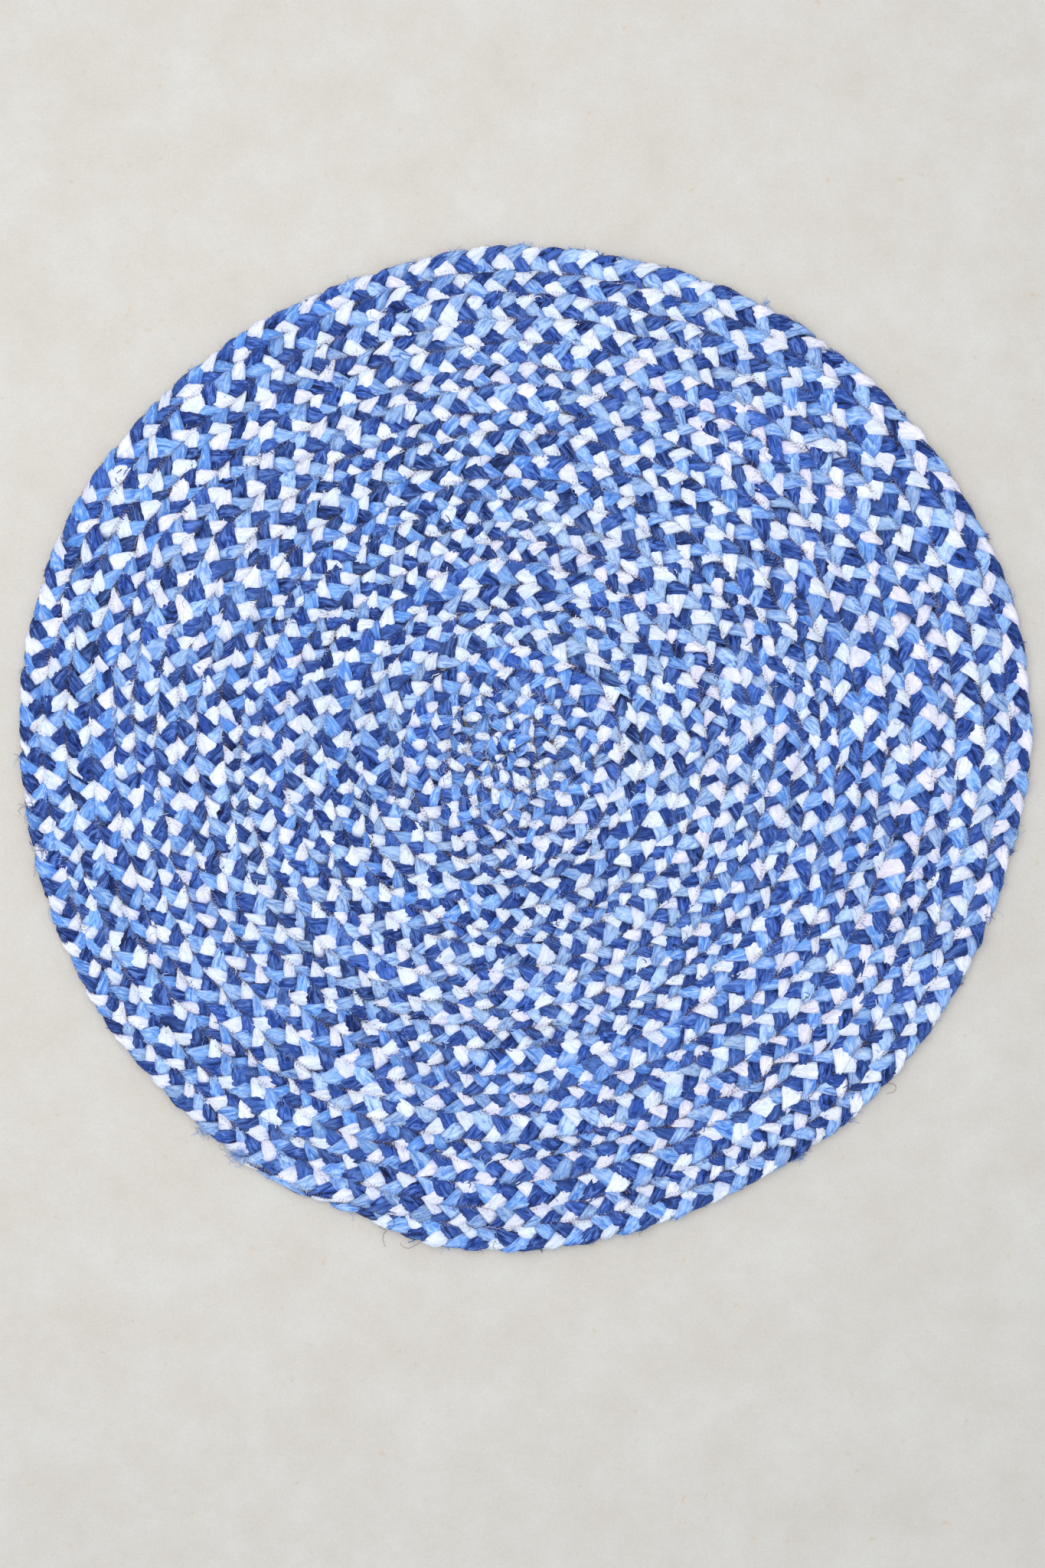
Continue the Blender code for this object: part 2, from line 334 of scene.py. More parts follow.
class RugPlaitSettings(bpy.types.PropertyGroup):
    """One three-strand plait and its strips of rag."""

    period: number_property("Period", "Length of a full crossing, in widths of the plait", 2.5)
    swing: number_property(
        "Swing", "Strand's way from side to side, as a share of half the width", 0.90)
    start: number_property("Start", "Where the first crossing is, in periods", 0.47)
    steepness: number_property(
        "Steepness", "How steeply a strand crosses, against a triangle wave", 1.55)
    lift: length_property("Lift", "Strand's way up and down from mid height", 0.0028)
    strand_width: number_property(
        "Strand width", "Along the row, as a share of a third of the period", 1.30)
    shoulder: number_property("Shoulder", "How much later a strand dives at a side, 0 to 1", 0.80)
    saddle: number_property("Saddle", "How much sooner a strand dives at the middle, 0 to 1", 0.20)
    strand_height: length_property("Strand height", "Thickness of a flattened strand", 0.0062)
    squareness: number_property(
        "Squareness", "Power of the strand's superellipse section: 2 is round", 2.3)
    bulge: number_property("Bulge", "How far a lobe's side is rounded out, in half widths", 0.12)
    unevenness: number_property("Unevenness", "How much one lobe differs from the next", 1.15)
    hub_tightness: number_property(
        "Hub tightness", "How much shorter the crossings are at the hub", 0.46)
    tail_slack: number_property(
        "Tail slack", "How much longer the crossings are at the tail's end", 0.5)
    stations: bpy.props.IntProperty(
        name="Stations", description="Sections in one period", default=14)
    section_points: bpy.props.IntProperty(
        name="Section points", description="Points around a strand", default=12)
    strip_length: length_property("Strip length", "Usual length of one strip of rag", 0.6)
    dark_blue: colour_property("Dark blue", "Usual tint of the dark blue strips", "#2c4da0")
    light_blue: colour_property("Light blue", "Usual tint of the light blue strips", "#82b8ff")
    white: colour_property("White", "Usual tint of the white strips", "#f1f8ff")
    seed: bpy.props.IntProperty(name="Seed", description="Seed of the unevenness", default=7)


class RugSewingSettings(bpy.types.PropertyGroup):
    """The zigzag that sews turn to turn."""

    stitch: length_property("Stitch", "Length of one zigzag", 0.0029)
    width: length_property("Width", "Width of the zigzag", 0.0043)
    radius: length_property("Radius", "Radius of the thread", 0.00018)
    sink: length_property(
        "Sink", "How deep the thread sinks where the cloth closes over it", 0.0009)
    thread: colour_property("Thread", "Colour of most of the thread", "#b9a5b2")
    tan_thread: colour_property("Tan thread", "Colour at the hub and in two stretches", "#c2a384")
    seed: bpy.props.IntProperty(name="Seed", description="Seed of the stitches", default=5)


class RugFraySettings(bpy.types.PropertyGroup):
    """Yarns and shreds that hang out of the torn edges of the strips."""

    plenty: number_property("Plenty", "Frays against the usual number", 1.0)
    hub_ends: bpy.props.IntProperty(
        name="Hub ends", description="Loose ends of each colour at the hub", default=110)
    seed: bpy.props.IntProperty(name="Seed", description="Seed of the frays", default=19)


class RugStageSettings(bpy.types.PropertyGroup):
    """Floor, light and camera."""

    camera_height: length_property("Camera height", "Above the rug", 1.8)
    floor_size: length_property("Floor size", "Width of the floor", 12.0)
    sky_strength: number_property("Sky strength", "Even light from all sides", 0.86)
    window_power: bpy.props.FloatProperty(
        name="Window power", description="Soft light from the upper left", default=24.0,
        subtype="POWER")
    sky: colour_property("Sky", "Colour of the even light", "#e8f1ff")
    window: colour_property("Window", "Colour of the soft light", "#fff8f0")


# ---------------------------------------------------------------- smooth chance

def eased(part):
    """Goes from 0 to 1 as its part does, level at both ends."""
    return part * part * (3.0 - 2.0 * part)


def smooth_chance(place, rng):
    """Smooth random wave of unit swing: random values at whole places, eased between them."""
    place = place - place.min()
    cell = np.floor(place).astype(int)
    ease = eased(place - cell)
    values = rng.normal(size=cell.max() + 2)
    return values[cell] * (1.0 - ease) + values[cell + 1] * ease


def smooth_chance_around(place, around, cells, rng):
    """The same on a tube: a lattice along it and `cells` cells that close round it."""
    place = place[:, None] - place.min()
    row = np.floor(place).astype(int)
    ease = eased(place - row)
    turn = around / math.tau * cells
    column = np.floor(turn).astype(int)
    side = eased(turn - column)
    values = rng.normal(size=(row.max() + 2, cells))
    here, beside = column % cells, (column + 1) % cells
    near = values[row, here] * (1.0 - side) + values[row, beside] * side
    far = values[row + 1, here] * (1.0 - side) + values[row + 1, beside] * side
    return near * (1.0 - ease) + far * ease


def soft_limit(value, start, limit):
    """Holds a value under a limit: unchanged up to start, then eased so that it never passes."""
    room = limit - start
    over = np.maximum(value - start, 0.0)
    return np.minimum(value, start) + room * np.tanh(over / room)


# ---------------------------------------------------------------- coil

def reach_at(bearing):
    """Rim's reach at a bearing: a smooth closed cubic through the REACH table."""
    table = np.asarray(REACH)
    place = np.mod(bearing, 360.0) / REACH_STEP
    row = np.floor(place).astype(int)
    part = place - row
    before, start, end, after = (table[(row + shift) % len(table)] for shift in (-1, 0, 1, 2))
    slope = 0.5 * (end - before)
    bend = before - 2.5 * start + 2.0 * end - 0.5 * after
    twist = 1.5 * (start - end) + 0.5 * (after - before)
    return start + slope * part + bend * part**2 + twist * part**3


def length_along(turn, radius):
    """Length along a spiral up to each place: the sum of circle arcs of the local radius."""
    step = math.tau * radius * (turn[1] - turn[0])
    return np.concatenate(([0.0], np.cumsum(0.5 * (step[1:] + step[:-1]))))


class Coil:
    """The seam line of the rug, worked out at many places along it and read between them.

    A place on the line is given in turns passed. The plait's row at a turn lies between the
    seam at that turn and the seam one turn further on.
    """

    def __init__(self, settings):
        self.settings = settings
        self.end = settings.turns - 1.0
        self.turn = np.linspace(-1.0, settings.turns, COIL_SAMPLES)
        radius = self.even_radius(self.turn)
        self.length = length_along(self.turn, radius)
        rng = np.random.default_rng(settings.seed)
        stray = settings.wobble * smooth_chance(self.length / settings.wobble_cell, rng)
        stray = stray + settings.drift * smooth_chance(self.length / settings.drift_cell, rng)
        fade_in = np.clip(self.turn - HUB_STRAY_FROM, 0.0, 1.0)
        fade_out = np.clip(RIM_STRAY_FADE * (self.end - self.turn), RIM_STRAY, 1.0)
        self.radius = radius + stray * fade_in * fade_out
        self.centre = np.array(COIL_CENTRE)

    def distance(self, turn):
        """Seam's distance on an even coil: hub, plus the pitch, which grows with a power."""
        s = self.settings
        share = np.maximum(turn, 0.0) / s.turns
        widening = (s.outer_pitch - s.inner_pitch) * s.turns / (s.pitch_growth + 1.0)
        return s.hub_radius + s.inner_pitch * turn + widening * share**(s.pitch_growth + 1.0)

    def bearing(self, turn):
        """Bearing in degrees: 360 for each turn, and the tail's bearing at the last one."""
        return self.settings.tail_bearing + 360.0 * (turn - self.end)

    def even_radius(self, turn):
        """Seam's distance from the centre: the rim's reach, scaled by the even coil, plus waves."""
        even = (reach_at(self.bearing(turn)) * np.maximum(self.distance(turn), 0.0)
                / self.distance(self.settings.turns))
        fade = np.clip(turn / WAVE_FADE_TURNS, 0.0, 1.0) * np.clip(self.end - turn, 0.0, 1.0)
        waves = sum(wave["swing"] * np.sin(math.tau * wave["per_turn"] * turn + wave["phase"])
                    for wave in SEAM_WAVES)
        return even + waves * fade

    def tail_share(self, turn, column):
        """Share of the plait's width or height left at a place, read from the TAIL table."""
        before_end = 360.0 * (self.end - turn)
        places = [row["before_end"] for row in TAIL]
        return np.interp(before_end, places, [row[column] for row in TAIL])

    def seam(self, turn):
        return np.interp(turn, self.turn, self.radius)

    def seam_length(self, turn):
        return np.interp(turn, self.turn, self.length)

    def row(self, turn):
        """Radii of the inner and the outer side of the plait's row.

        The row keeps its full width. In the tail it is moved inwards, under the row inside it.
        """
        inner = self.seam(turn)
        full = self.seam(turn + 1.0) - inner
        tucked = full * (1.0 - self.tail_share(turn, "width"))
        return inner - tucked, inner + full - tucked

    def outward(self, turn):
        """Unit vectors away from the centre."""
        angle = np.radians(self.bearing(turn))
        return np.stack((np.cos(angle), -np.sin(angle)), axis=-1)

    def turn_and_radius(self, flat, near_turn):
        """Own turn and distance of points in the plane, given the turn of a place near them."""
        out = self.outward(near_turn)
        forward = np.stack((out[..., 1], -out[..., 0]), axis=-1)
        ahead = np.sum(flat * forward, axis=-1)
        away = np.sum(flat * out, axis=-1)
        shift = np.arctan2(ahead, np.maximum(away, HUB_CORE)) / math.tau
        shift = np.clip(shift, -FURTHEST_SHIFT, FURTHEST_SHIFT)
        return near_turn + shift, np.hypot(ahead, away)


# ---------------------------------------------------------------- plait

def near_hub(turn, trait):
    """1 at the start of the plait, down to 0 at the last turn of the hub that has the trait."""
    return np.clip(1.0 - turn / HUB_TURNS[trait], 0.0, 1.0)


def plait_stations(coil, plait):
    """Places along the plait, evenly spaced in its own crossings.

    The crossings passed are the length along the row divided by the local period, which is a
    multiple of the row's full width and wanders a little.
    """
    rng = np.random.default_rng(plait.seed)
    turn = np.linspace(-TUCKED_TURNS, coil.end, PLAIT_SAMPLES)
    inner, outer = coil.even_radius(turn), coil.even_radius(turn + 1.0)
    length = length_along(turn, 0.5 * (inner + outer))
    stray = 1.0 + CROSSING_STRAY["swing"] * smooth_chance(length / CROSSING_STRAY["cell"], rng)
    tight = 1.0 - plait.hub_tightness * near_hub(turn, "tight")
    slack = 1.0 + plait.tail_slack * np.clip(1.0 - (coil.end - turn) / TAIL_TURNS, 0.0, 1.0)
    least_pitch = CROSSING_STRAY["least_pitch"] * coil.settings.inner_pitch
    period = plait.period * np.maximum(outer - inner, least_pitch) * stray * tight * slack
    crossings = np.concatenate(([0.0], np.cumsum(np.diff(length) / period[1:])))
    crossing = np.arange(int(crossings[-1] * plait.stations) + 1) / plait.stations
    return crossing, np.interp(crossing, crossings, turn), np.interp(crossing, crossings, length)


def strand_surface(coil, plait, strand, crossing, turn, length):
    """Points of one strand: a flattened tube that goes to and fro across the plait's row.

    Across the row its line is a triangle wave of its phase, cut flat at the sides and rounded
    out again by the wave's fifth power, so it runs at 45 degrees and folds over at each side.
    Its section lies along the row, as a folded ribbon's does, and is a superellipse. Its height
    is the hyperbolic tangent of the sine of twice the phase, at the place halfway from the
    section's middle to the point, which keeps it level across the ribbon. A cosine added to that
    sine makes it dive later at a side (shoulder) and sooner at the middle line (saddle). Smooth
    chance shifts, widens, thickens and tilts each lobe, and pleats it along its length. At the
    hub a strand is wider and less even, and some colours are folded under.
    """
    rng = np.random.default_rng(strand["seed"])
    uneven = plait.unevenness * (1.0 + HUB_LESS_EVEN * near_hub(turn, "uneven"))

    def chance(measure):
        row = LOBE_CHANCE[measure]
        return row["swing"] * uneven * smooth_chance(crossing * row["per_crossing"], rng)

    inner, outer = coil.row(turn)
    half = 0.5 * (outer - inner)
    height_share = coil.tail_share(turn, "height")
    scale = np.minimum(2.0 * half / coil.settings.outer_pitch, 1.0)
    period = np.gradient(length) / np.gradient(crossing)
    phase = math.tau * (strand["order"] / len(STRANDS) + plait.start - crossing) + chance("phase")

    # the first three terms of a triangle wave, which add up to 1.151 at a peak
    triangle = (np.cos(phase) + np.cos(3.0 * phase) / 9.0 + np.cos(5.0 * phase) / 25.0) / 1.151
    flank = np.sign(triangle) * soft_limit(plait.steepness * np.abs(triangle), FLAT_FROM, 1.0)
    flank = flank + plait.bulge * triangle**5
    across = scale * chance("across") - half * plait.swing * flank
    half_wide = 0.5 * plait.strand_width * strand["girth"] * period / len(STRANDS)
    half_wide = half_wide * (1.0 + chance("width"))
    half_high = 0.5 * plait.strand_height * np.sqrt(scale) * height_share
    half_high = half_high * (1.0 + chance("thickness")) * (1.0 + SIDE_THICKER * flank**6)
    hidden = 0.5 * strand["hidden_at_hub"] * near_hub(turn, "hidden")
    lift = plait.lift * height_share * (1.0 + chance("lift")) * (1.0 - hidden)
    half_wide = half_wide * (1.0 + HUB_WIDER * near_hub(turn, "wide") - hidden)

    # the section's points, closer together on its upper face
    around = math.tau * (np.arange(plait.section_points) + 0.5) / plait.section_points
    upward = np.sign(np.gradient(across)) * np.clip(SQUARED * np.sin(2.0 * phase), -1.0, 1.0)
    around = around[None, :] + CROWDING * upward[:, None] * np.cos(around)[None, :]
    cosine = np.cos(around)
    sine = np.sin(around)
    power = 2.0 / plait.squareness
    pleats = (PLEATS["swing"] * uneven * scale)[:, None] * smooth_chance_around(
        crossing * PLEATS["per_crossing"], around, PLEATS["around"], rng)
    wide = half_wide[:, None] * np.sign(cosine) * np.abs(cosine)**power
    high = half_high[:, None] * np.sign(sine) * np.abs(sine)**power + pleats

    forward = chance("forward")[:, None] - wide
    level = phase[:, None] - 0.5 * math.tau * forward / period[:, None]
    side = np.cos(2.0 * level)
    side = side * np.where(side > 0.0, plait.shoulder, plait.saddle)
    rise = np.tanh(SQUARED * np.sin(2.0 * level) + side)
    height = 0.5 * TOP_HEIGHT * height_share[:, None] + lift[:, None] * rise
    height = height + chance("height")[:, None]
    height = height + chance("tilt")[:, None] * wide

    # the face's normal: slope of the line across the row against its slope up
    step = np.gradient(length)[:, None]
    slope_across = np.gradient(across)[:, None] / step
    slope_up = np.gradient(height, axis=0) / step
    normal = np.stack((-0.5 * slope_up * slope_across, -0.5 * slope_up,
                       np.broadcast_to(slope_across, slope_up.shape)), axis=-1)
    normal /= np.linalg.norm(normal, axis=-1)[..., None] + 1e-9
    tube = np.stack((forward, np.broadcast_to(across[:, None], forward.shape), height), axis=-1)
    tube = tube + high[..., None] * normal
    return laid_in_row(coil, tube, crossing, turn, uneven, rng), around, phase


def laid_in_row(coil, tube, crossing, turn, uneven, rng):
    """Carries a tube from its row's own measures (forward, across, up) to the coil's.

    Points ahead of a station take the row's radii at their own place, so a section bends along
    the row. The sides are held against the neighbouring turns, over which each lobe is pressed
    by its own chance. At the rim lobes reach less far, but bulge past the rim's line. Top and
    underside are pressed flat. In the tail the inner side sinks, under the row inside it.
    """
    forward, across, height = np.moveaxis(tube, -1, 0)
    inner, outer = coil.row(turn)
    half = 0.5 * (outer - inner)[:, None]
    scale = np.minimum(2.0 * half / coil.settings.outer_pitch, 1.0)
    reach = np.maximum(0.5 * (inner + outer), LEAST_REACH)[:, None]
    own_turn = turn[:, None] + forward / (math.tau * reach)
    own_inner, own_outer = coil.row(own_turn)
    own_half = 0.5 * (own_outer - own_inner)
    off = across * own_half / half

    inner_stray = smooth_chance(crossing * OVERLAP_STRAY["per_crossing"], rng)[:, None]
    outer_stray = smooth_chance(crossing * OVERLAP_STRAY["per_crossing"], rng)[:, None]
    stray = np.where(off < 0.0, inner_stray, outer_stray)
    overlap = SEAM_OVERLAP * np.clip(1.0 + OVERLAP_STRAY["swing"] * uneven[:, None] * stray,
                                     OVERLAP_STRAY["least"], OVERLAP_STRAY["most"])
    at_rim = np.clip(0.5 + RIM_BLEND * (own_turn - coil.end + 1.0), 0.0, 1.0) * (off > 0.0)
    off = off * (1.0 - (RIM_SHRINK - RIM_SHRINK_STRAY * stray) * at_rim)
    limit = own_half + scale * (overlap + (RIM_OVERLAP - overlap) * at_rim)
    ease = np.minimum(SEAM_EASE + RIM_EASE * at_rim, MOST_EASE * limit)
    off = np.sign(off) * soft_limit(np.abs(off), limit - ease, limit)
    radius = 0.5 * (own_inner + own_outer) + off

    top = TOP_HEIGHT * coil.tail_share(turn, "height")[:, None]
    height = soft_limit(height, top - TOP_EASE, top)
    height = top - soft_limit(top - height, top - UNDER_EASE, top)
    tucked = np.clip(TAIL_TUCK * (1.0 - coil.tail_share(own_turn, "width")), 0.0, 1.0)
    tucked = tucked * np.clip((coil.seam(own_turn) - radius) / TAIL_SINK_REACH, 0.0, 1.0)
    height = height * (1.0 - TAIL_SINK * tucked)
    flat = radius[..., None] * coil.outward(own_turn)
    return np.concatenate((flat, height[..., None]), axis=-1)


def tail_end_surface(coil, plait):
    """The plait's last strip, laid alone along the rim: a flattened tube that swells and thins.

    Its width and thickness are the sine of the way along it, to a low power, so it is widest in
    its middle and ends in a point. Its outer side follows the rim, and smooth chance pleats it.
    """
    rng = np.random.default_rng(plait.seed + TAIL_END["seed"])
    share = np.linspace(0.0, 1.0, TAIL_END["stations"])
    turn = coil.end + (TAIL_END["from_end"] * (share - 1.0) - TAIL_END["clear"]) / 360.0
    angle = math.pi * (TAIL_SWELL["start"] + TAIL_SWELL["way"] * share)
    swell = np.clip(np.sin(angle), 0.0, 1.0)**TAIL_SWELL["power"]
    half_wide = TAIL_END["half_width"] * swell
    half_high = TAIL_END["half_height"] * swell
    around = math.tau * (np.arange(plait.section_points) + 0.5) / plait.section_points
    around = np.broadcast_to(around, (len(share), plait.section_points))
    pleats = 1.0 + TAIL_PLEATS["swing"] * smooth_chance_around(
        share * TAIL_PLEATS["along"], around, TAIL_PLEATS["around"], rng)
    middle = coil.row(turn)[1] + TAIL_END["past_rim"] - half_wide
    radius = middle[:, None] + half_wide[:, None] * np.cos(around) * pleats
    height = (TAIL_END["rise"] - TAIL_END["fall"] * share)[:, None]
    height = height + half_high[:, None] * np.sin(around) * pleats
    flat = radius[..., None] * coil.outward(turn)[:, None, :]
    points = np.concatenate((flat, height[..., None]), axis=-1)
    length = coil.seam_length(turn) - coil.seam_length(turn[0])
    return points, around, turn, length, np.tile(TAIL_END["marks"], (len(share), 1))


def strip_marks(plait, strand, length, phase):
    """Three numbers for each station: the strip's own tint, the lobe's own shade, its age.

    A strip keeps its tint over its length. A lobe is half a period of the strand.
    """
    rng = np.random.default_rng(strand["seed"] + MARKS_SEED)
    ends = np.cumsum(rng.uniform(*STRIP_LENGTHS, MOST_STRIPS) * plait.strip_length)
    strip = np.searchsorted(ends, length)
    lobe = np.floor(2.0 * (phase.max() - phase) / math.tau).astype(int)
    tint = rng.uniform(0.0, 1.0, strip.max() + 1)[strip]
    age = rng.uniform(0.0, 1.0, strip.max() + 1)[strip]
    shade = rng.uniform(0.0, 1.0, lobe.max() + 1)[lobe]
    return np.column_stack((tint, shade, age))


def tube_faces(stations, around):
    """Quads of a tube of rings, and fans of triangles that close it on a point at each end."""
    ring = np.arange(around)
    after = np.roll(ring, -1)
    base = np.arange(stations - 1)[:, None] * around
    quads = np.stack((base + ring, base + after, base + around + after, base + around + ring), -1)
    first = stations * around
    start = np.stack((np.full(around, first), after, ring), -1)
    last = (stations - 1) * around
    end = np.stack((np.full(around, first + 1), last + ring, last + after), -1)
    return quads.reshape(-1, 4), np.concatenate((start, end))


def new_mesh_piece(name, points, quads, triangles):
    """A smooth mesh object from arrays, its faces' corners in one line, and the faces' sizes."""
    mesh = bpy.data.meshes.new(name)
    corners = np.concatenate((quads.ravel(), triangles.ravel())).astype(np.int32)
    sizes = np.concatenate((np.full(len(quads), 4), np.full(len(triangles), 3)))
    mesh.vertices.add(len(points))
    mesh.vertices.foreach_set("co", points.astype(np.float32).ravel())
    mesh.loops.add(len(corners))
    mesh.loops.foreach_set("vertex_index", corners)
    mesh.polygons.add(len(sizes))
    mesh.polygons.foreach_set("loop_start", first_corners(sizes).astype(np.int32))
    mesh.polygons.foreach_set("use_smooth", np.ones(len(sizes), dtype=bool))
    mesh.update(calc_edges=True)
    mesh.validate()
    piece = bpy.data.objects.new(name, mesh)
    bpy.context.scene.collection.objects.link(piece)
    return piece, corners, sizes


def first_corners(sizes):
    """Where each face's corners start in that line."""
    return np.concatenate(([0], np.cumsum(sizes)[:-1]))


def closed_tube_points(rings):
    """Points of a tube in one list: its rings, then the middle of its first and its last ring."""
    ends = np.stack((rings[0].mean(axis=0), rings[-1].mean(axis=0)))
    return np.concatenate((rings.reshape(-1, 3), ends))


def at_tube_points(values, around):
    """Values of a tube's stations as values of its points, in the same list."""
    return np.concatenate((np.repeat(values, around, axis=0), values[[0, -1]]))


def add_uv(mesh, name, pairs):
    layer = mesh.uv_layers.new(name=name)
    layer.data.foreach_set("uv", pairs.astype(np.float32).ravel())


def add_point_values(mesh, name, values):
    """An attribute of the points: one number for each, or three."""
    kind, field = ("FLOAT_VECTOR", "vector") if values.ndim == 2 else ("FLOAT", "value")
    layer = mesh.attributes.new(name, kind, "POINT")
    layer.data.foreach_set(field, values.astype(np.float32).ravel())


def wear_on_rug(piece, material):
    """The piece rides on the rug's body, stands for its solid and takes its finish."""
    piece.data.materials.append(material)
    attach(piece, "root")
    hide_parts("rug")


def seam_places(coil, points, turn, corners, sizes):
    """For each face corner: metres along the nearest seam, and metres outwards from it.

    The seam is chosen for each face from its middle, so no face spans two seams. The rim has no
    sewing and gets a far distance.
    """
    own_turn, distance = coil.turn_and_radius(points[:, :2], turn)
    inner = coil.seam(own_turn)
    outer = coil.seam(own_turn + 1.0)
    share = (distance - inner) / np.maximum(outer - inner, NARROWEST_ROW)
    face_share = np.add.reduceat(share[corners], first_corners(sizes)) / sizes
    nearer_outer = np.repeat(face_share > 0.5, sizes)
    seam_turn = own_turn[corners] + nearer_outer
    away = distance[corners] - coil.seam(seam_turn)
    away = np.where(seam_turn > coil.end, FAR_FROM_SEAM, away)
    return np.column_stack((coil.seam_length(seam_turn), away))


def add_strand_piece(name, laid, rings, around, turn, length, marks):
    """One closed tube of a strand, with its UV maps in metres, its strip marks and its hollows.

    UV map along_strip: u runs along the strip, v around it. UV map at_seam: u runs along the
    nearest seam, v away from it. A point's hollow is how far it lies under the mean height of
    the cloth about it.
    """
    stations, count = rings.shape[:2]
    points = closed_tube_points(rings)
    on_rug = points + laid.coil.centre
    piece, corners, sizes = new_mesh_piece(name, on_rug, *tube_faces(stations, count))
    mesh = piece.data

    u = at_tube_points(length, count)
    v = np.concatenate(((around / math.tau * STRIP_GIRTH).ravel(), [0.0, 0.0]))[corners]
    # the last quad of each ring closes the tube, one whole girth further on
    closing = np.zeros((stations - 1, count, 4), dtype=bool)
    closing[:, -1, 1:3] = True
    v[:closing.size] += np.where(closing.ravel(), STRIP_GIRTH, 0.0)
    add_uv(mesh, "along_strip", np.column_stack((u[corners], v)))
    turns = at_tube_points(turn, count)
    add_uv(mesh, "at_seam", seam_places(laid.coil, points, turns, corners, sizes))
    add_point_values(mesh, "strip_marks", at_tube_points(marks, count))
    under = laid.cloth.mean_height(on_rug[:, 0], on_rug[:, 1]) - on_rug[:, 2]
    add_point_values(mesh, "hollow", np.clip(under / HOLLOW_DEPTH, -1.0, 1.0))
    return piece


# ---------------------------------------------------------------- materials

# Patterns of the cloth: patches for each metre along a strip and around it, and their noise
CLOTH_PATTERNS = {
    # creases 2 mm or so across the strip and 8 mm long
    "folds": {"patches": (120.0, 430.0), "Detail": 3.0, "Roughness": 0.52, "Distortion": 1.1},
    # crinkled all over, every 2 mm
    "crinkle": {"patches": (360.0, 540.0), "Detail": 2.0, "Distortion": 1.2},
    # soft uneven fading, 10 to 20 mm across
    "fading": {"patches": (70.0, 120.0), "Detail": 3.0},
    # crumpled in facets 4 mm or so wide
    "crumple": {"patches": (130.0, 260.0), "Detail": 2.0, "Roughness": 0.6, "Distortion": 0.6},
}
# Where in its pattern a layer of colour starts and is full, and its share at each of them
FADED = (0.42, 0.72, 0.0, 0.75)
# painted shade in the creases' valleys
CREASE_SHADE = (0.33, 0.50, 1.0, 0.0)
# painted highlight on the creases' ridges
RIDGE_HIGHLIGHT = (0.50, 0.66, 0.0, 0.50)
CREASED = {"from": 0.35, "to": 0.62, "least": 0.4}      # how strong a lobe's painted crease shade is, by the fading pattern
HOLLOW_SHADE = (-0.15, 0.55)        # share of HOLLOW_DEPTH at which the shade starts and is full
PUCKER_SHADE = 0.1            # how much painted shade the stitches' puckers add, in their valleys
CRINKLE_SHADING = 0.44         # painted light and shade: how much lighter the cloth is drawn on a crinkle than between two
RELIEF = 0.0012             # metres of height in a fold
RELIEF_WEIGHTS = {"crumple": 3.4, "crinkle": 0.9, "pucker": 0.8, "hole": -0.9}  # against a fold
HOLE_STRAY = 0.0007         # metres: most that a hole stands out of its place
HOLE_EDGE = (0.0002, 0.0009)        # metres from its middle, over which a hole fades out
HOLE_PULL = (0.2, 0.9)      # of its own chance: from here on it is pulled in, and here in full
PUCKER_EDGE = (0.0012, 0.0045)      # metres from the seam, over which its puckers fade out
STRETCH_SCALE = 30.0        # stretches in a metre in which the thread is out of the cloth or in it
STRETCH_SHOWN = (0.44, 0.58, 0.10, 1.0)     # range of their noise, and share shown at each end


def add_node(tree, kind, *inputs, **values):
    """Adds a shader node and returns its first output in use.

    inputs go to its inputs in use, in the order in which it shows them. values are its
    properties, and inputs by name. Each input is a number or an output to link.
    """
    node = tree.nodes.new(f"ShaderNode{kind}")
    named = []
    for key, value in values.items():
        if hasattr(node, key):
            setattr(node, key, value)
        else:
            named.append((node.inputs[key], value))
    in_use = [socket for socket in node.inputs if socket.enabled]
    for socket, value in (*zip(in_use, inputs), *named):
        if isinstance(value, bpy.types.NodeSocket):
            tree.links.new(value, socket)
        else:
            socket.default_value = value
    return next(socket for socket in node.outputs if socket.enabled)


def add_ramp(tree, share, stops):
    """Colour ramp over a share, from pairs of position and colour (sRGB hex or linear)."""
    ramp = add_node(tree, "ValToRGB", share)
    elements = ramp.node.color_ramp.elements
    while len(elements) < len(stops):
        elements.new(0.5)
    for element, (position, colour) in zip(elements, stops):
        element.position = position
        element.color = hex_colour(colour) if isinstance(colour, str) else colour
    return ramp


def new_material(name, **surface):
    """A material, its node tree and its surface shader, with even values on the shader itself."""
    material = bpy.data.materials.new(name)
    material.use_nodes = True
    shader = material.node_tree.nodes["Principled BSDF"]
    for key, value in surface.items():
        shader.inputs[key.replace("_", " ")].default_value = value
    return material, material.node_tree, shader


def cloth_pattern(tree, uv, patches, **noise):
    """Smooth noise on the strip's own UV map, stretched along the strip."""
    place = add_node(tree, "Mapping", uv, Scale=(*patches, 1.0))
    return add_node(tree, "TexNoise", noise_dimensions="2D", Vector=place, Scale=1.0, **noise)


